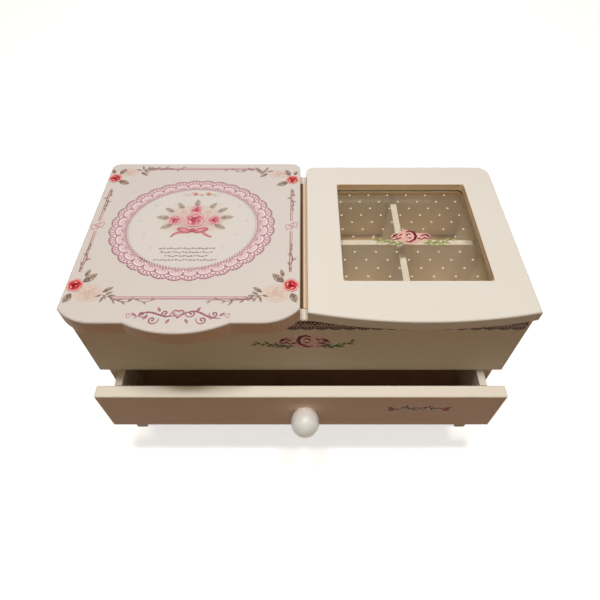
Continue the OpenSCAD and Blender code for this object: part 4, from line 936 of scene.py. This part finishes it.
# the block round her pin and its post, then feet, legs, arms, hands, bust and ears
limb((-0.7, 0, 0), (0.7, 0, 0), 1.25, 1.25)
limb((0, 0, 0.6), (0, 0, 2.4), 0.75, 0.6)
for side in (-1, 1):
    for x0, y0, z0, x1, y1, z1, first, last in (
            (0.28, 0, 2.0, 0.36, 0.1, 5.4, 0.46, 0.62), (0.36, 0.1, 5.4, 0.55, 0.25, 9.6, 0.6, 0.92),
            (0.55, 0.25, 9.6, 0.66, -0.05, 12.8, 0.92, 0.76), (0.66, -0.05, 12.8, 0.95, 0, 19.8, 0.78, 1.3),
            (1.75, 0.05, 28.9, 3.5, -0.15, 31.8, 0.72, 0.62),
            (3.5, -0.15, 31.8, 4.75, -0.45, 34.6, 0.6, 0.52),
            (4.75, -0.45, 34.6, 3.6, -0.6, 38.4, 0.52, 0.42),
            (3.6, -0.6, 38.4, 1.5, -0.6, 40.7, 0.42, 0.3)):
        limb((x0 * side, y0, z0), (x1 * side, y1, z1), first, last)
    swell(1.1 * side, -0.62, 40.9, 0.62, 0.26, 0.3)
    swell(0.95 * side, -0.85, 27.0, 0.95, 0.75, 0.9)
    swell(1.75 * side, 0.05, 34.0, 0.22, 0.3, 0.42)
# hips, waist, ribs and chest, shoulders and neck
swell(0, 0, 20.4, 2.25, 1.85, 1.9)
swell(0, 0, 22.6, 1.5, 1.2, 1.9)
swell(0, 0, 25.0, 1.75, 1.35, 2.2)
swell(0, 0, 27.4, 2.1, 1.4, 1.9)
limb((-1.4, 0.05, 28.8), (1.4, 0.05, 28.8), 0.85, 0.85)
limb((0, 0.05, 28.6), (0, 0, 32.4), 0.66, 0.58)
# head, jaw, nose, hair, bun and ribbon
swell(0, 0, 34.1, 1.7, 1.85, 2.1)
swell(0, -0.35, 32.9, 1.15, 1.3, 1.0)
swell(0, -1.86, 33.7, 0.17, 0.22, 0.3)
swell(0, 0.35, 34.6, 1.84, 1.85, 1.95)
swell(0, 1.5, 35.9, 1.15, 1.05, 1.1)
swell(0, 1.15, 35.5, 1.3, 0.35, 1.2)
bpy.ops.object.select_all(action="DESELECT")
for part in dancer_parts:
    part.select_set(True)
bpy.context.view_layer.objects.active = dancer_parts[0]
bpy.ops.object.join()
dancer = bpy.context.object
dancer.name = "dancer"
bpy.ops.object.transform_apply(location=True, rotation=True, scale=True)
worked(dancer, "REMESH", mode="VOXEL", voxel_size=0.2 * MM)
worked(dancer, "SMOOTH", factor=0.5, iterations=4)
bpy.ops.object.shade_smooth()

SKIN, BLUSHER, LIPS = shade(238, 200, 180), shade(230, 150, 140), shade(188, 62, 76)
HAIR, HAIR_LIGHT, RIBBON = shade(84, 52, 36), shade(132, 88, 60), shade(226, 122, 148)
TIGHTS, SLIPPER = shade(243, 222, 216), shade(222, 138, 158)
BODICE, TRIM = shade(228, 146, 168), shade(250, 238, 238)


def near(x, y, z, spot, reach):
    return math.dist((x, y, z), spot) < reach


def dancer_paint(x, y, z):
    """The brush's colour at a point of the standing dancer."""
    bodice_top = 28.0 - 0.28 * math.cos(2.2 * x)
    if z < 5.0:
        return SLIPPER
    if z < 20.8:
        wound = abs((z - 5.0) * 0.9 - 0.9 * abs(math.sin(1.6 * z))) < 0.24 and z < 8.2
        return SLIPPER if wound else TIGHTS
    if z < bodice_top and abs(x) < 2.6:
        laced = abs(x) < 0.11 and y < 0 and int(z * 2.2) % 2
        return TRIM if laced or z > bodice_top - 0.4 else BODICE
    if z > 31.6 and abs(x) < 2.1 and z < 38:
        if y > 0.7 and 34.7 < z < 36.3 and abs(y - 1.0) < 0.22:
            return RIBBON
        hairline = 35.2 - 0.9 * max(0.0, y + 0.9) - 0.25 * abs(x)
        if z > hairline and (z > 33.2 or y > 0.4) and z > 32.6:
            return HAIR_LIGHT if math.sin(9 * x + 3 * z) > 0.72 else HAIR
        if near(abs(x), y, z, (0.66, -1.62, 34.05), 0.23):
            return HAIR
        if near(abs(x), y, z, (0.7, -1.6, 34.62), 0.16):
            return HAIR_LIGHT
        if near(x, y, z, (0, -1.62, 32.95), 0.3):
            return LIPS
        if near(abs(x), y, z, (1.0, -1.3, 33.3), 0.45):
            return BLUSHER
    return SKIN


coats = dancer.data.color_attributes.new("ink", "FLOAT_COLOR", "POINT")
for vertex, coat in zip(dancer.data.vertices, coats.data):
    here = vertex.co / MM - PIN
    coat.color = dancer_paint(here.x, here.z, -here.y)
doll = Finish("doll_enamel", Coat_Weight=0.35, Coat_Roughness=0.12)
streak = doll.noise(700, 3, 0.6)
doll.set("Base Color", doll.blend(((streak - 0.55) * 2).clipped() * 0.3, doll.drawn(), shade(214, 176, 168)))
doll.set("Roughness", 0.34 + streak * 0.14)
doll.bump(streak, 0.03 * MM)
dancer.data.materials.clear()
dancer.data.materials.append(doll.material)
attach(dancer, "figure")
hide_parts("ballerina")

# ---- Tutu ----
# Three rings of stiff tulle, cut round, gathered at the waist so that they ripple, and trimmed
# with a pale satin edge.
tulle = Finish("tulle_net", Roughness=0.7, Sheen_Weight=0.5, Sheen_Roughness=0.4)
net = tulle.noise(5200, 1)
paler = (tulle.noise(160, 3) * 1.4 - 0.3).clipped() * 0.5
tulle.set("Base Color", tulle.blend(paler, tulle.drawn(), shade(246, 214, 222)))
tulle.set("Alpha", (0.55 + net * 0.55).clipped())
tulle.bump(net, 0.02 * MM)


def tulle_ring(name, rim_radius, height, drop, ripples, turn):
    """One layer: a ring that starts at the waist and droops and ripples towards its rim."""
    rows, around, waist_radius = 12, 288, 2.0
    bpy.ops.object.select_all(action="DESELECT")
    bpy.ops.mesh.primitive_grid_add(x_subdivisions=around, y_subdivisions=rows, size=2)
    ring = bpy.context.object
    ring.name = name
    tint = ring.data.color_attributes.new("ink", "FLOAT_COLOR", "POINT")
    for vertex, coat in zip(ring.data.vertices, tint.data):
        out = (vertex.co.y + 1) / 2
        angle = math.pi * (vertex.co.x + 1)
        swing = math.sin(ripples * angle + turn) + 0.45 * math.sin((ripples // 2 + 1) * angle + 2 * turn)
        scallop = 0.22 * out * abs(math.sin(ripples * angle / 2 + turn))
        radius = waist_radius + (rim_radius - waist_radius) * out - scallop
        lift = height - drop * out ** 1.6 + 0.42 * out ** 1.2 * swing
        vertex.co = lying(radius * math.cos(angle), radius * math.sin(angle), lift)
        coat.color = TRIM if out > 0.93 else shade(236 - 8 * out, 176 + 22 * out, 192 + 18 * out)
    bpy.ops.object.mode_set(mode="EDIT")
    bpy.ops.mesh.select_all(action="SELECT")
    bpy.ops.mesh.remove_doubles(threshold=0.01 * MM)
    bpy.ops.mesh.normals_make_consistent(inside=False)
    bpy.ops.object.mode_set(mode="OBJECT")
    worked(ring, "SOLIDIFY", thickness=0.08 * MM, offset=0)
    bpy.ops.object.shade_smooth()
    ring.data.materials.append(tulle.material)
    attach(ring, "figure")
    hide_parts("tutu")


tulle_ring("tutu_upper", 10.4, 22.2, 1.3, 22, 0.0)
tulle_ring("tutu_middle", 10.1, 21.7, 2.0, 20, 1.3)
tulle_ring("tutu_under", 9.6, 21.2, 2.9, 18, 2.4)
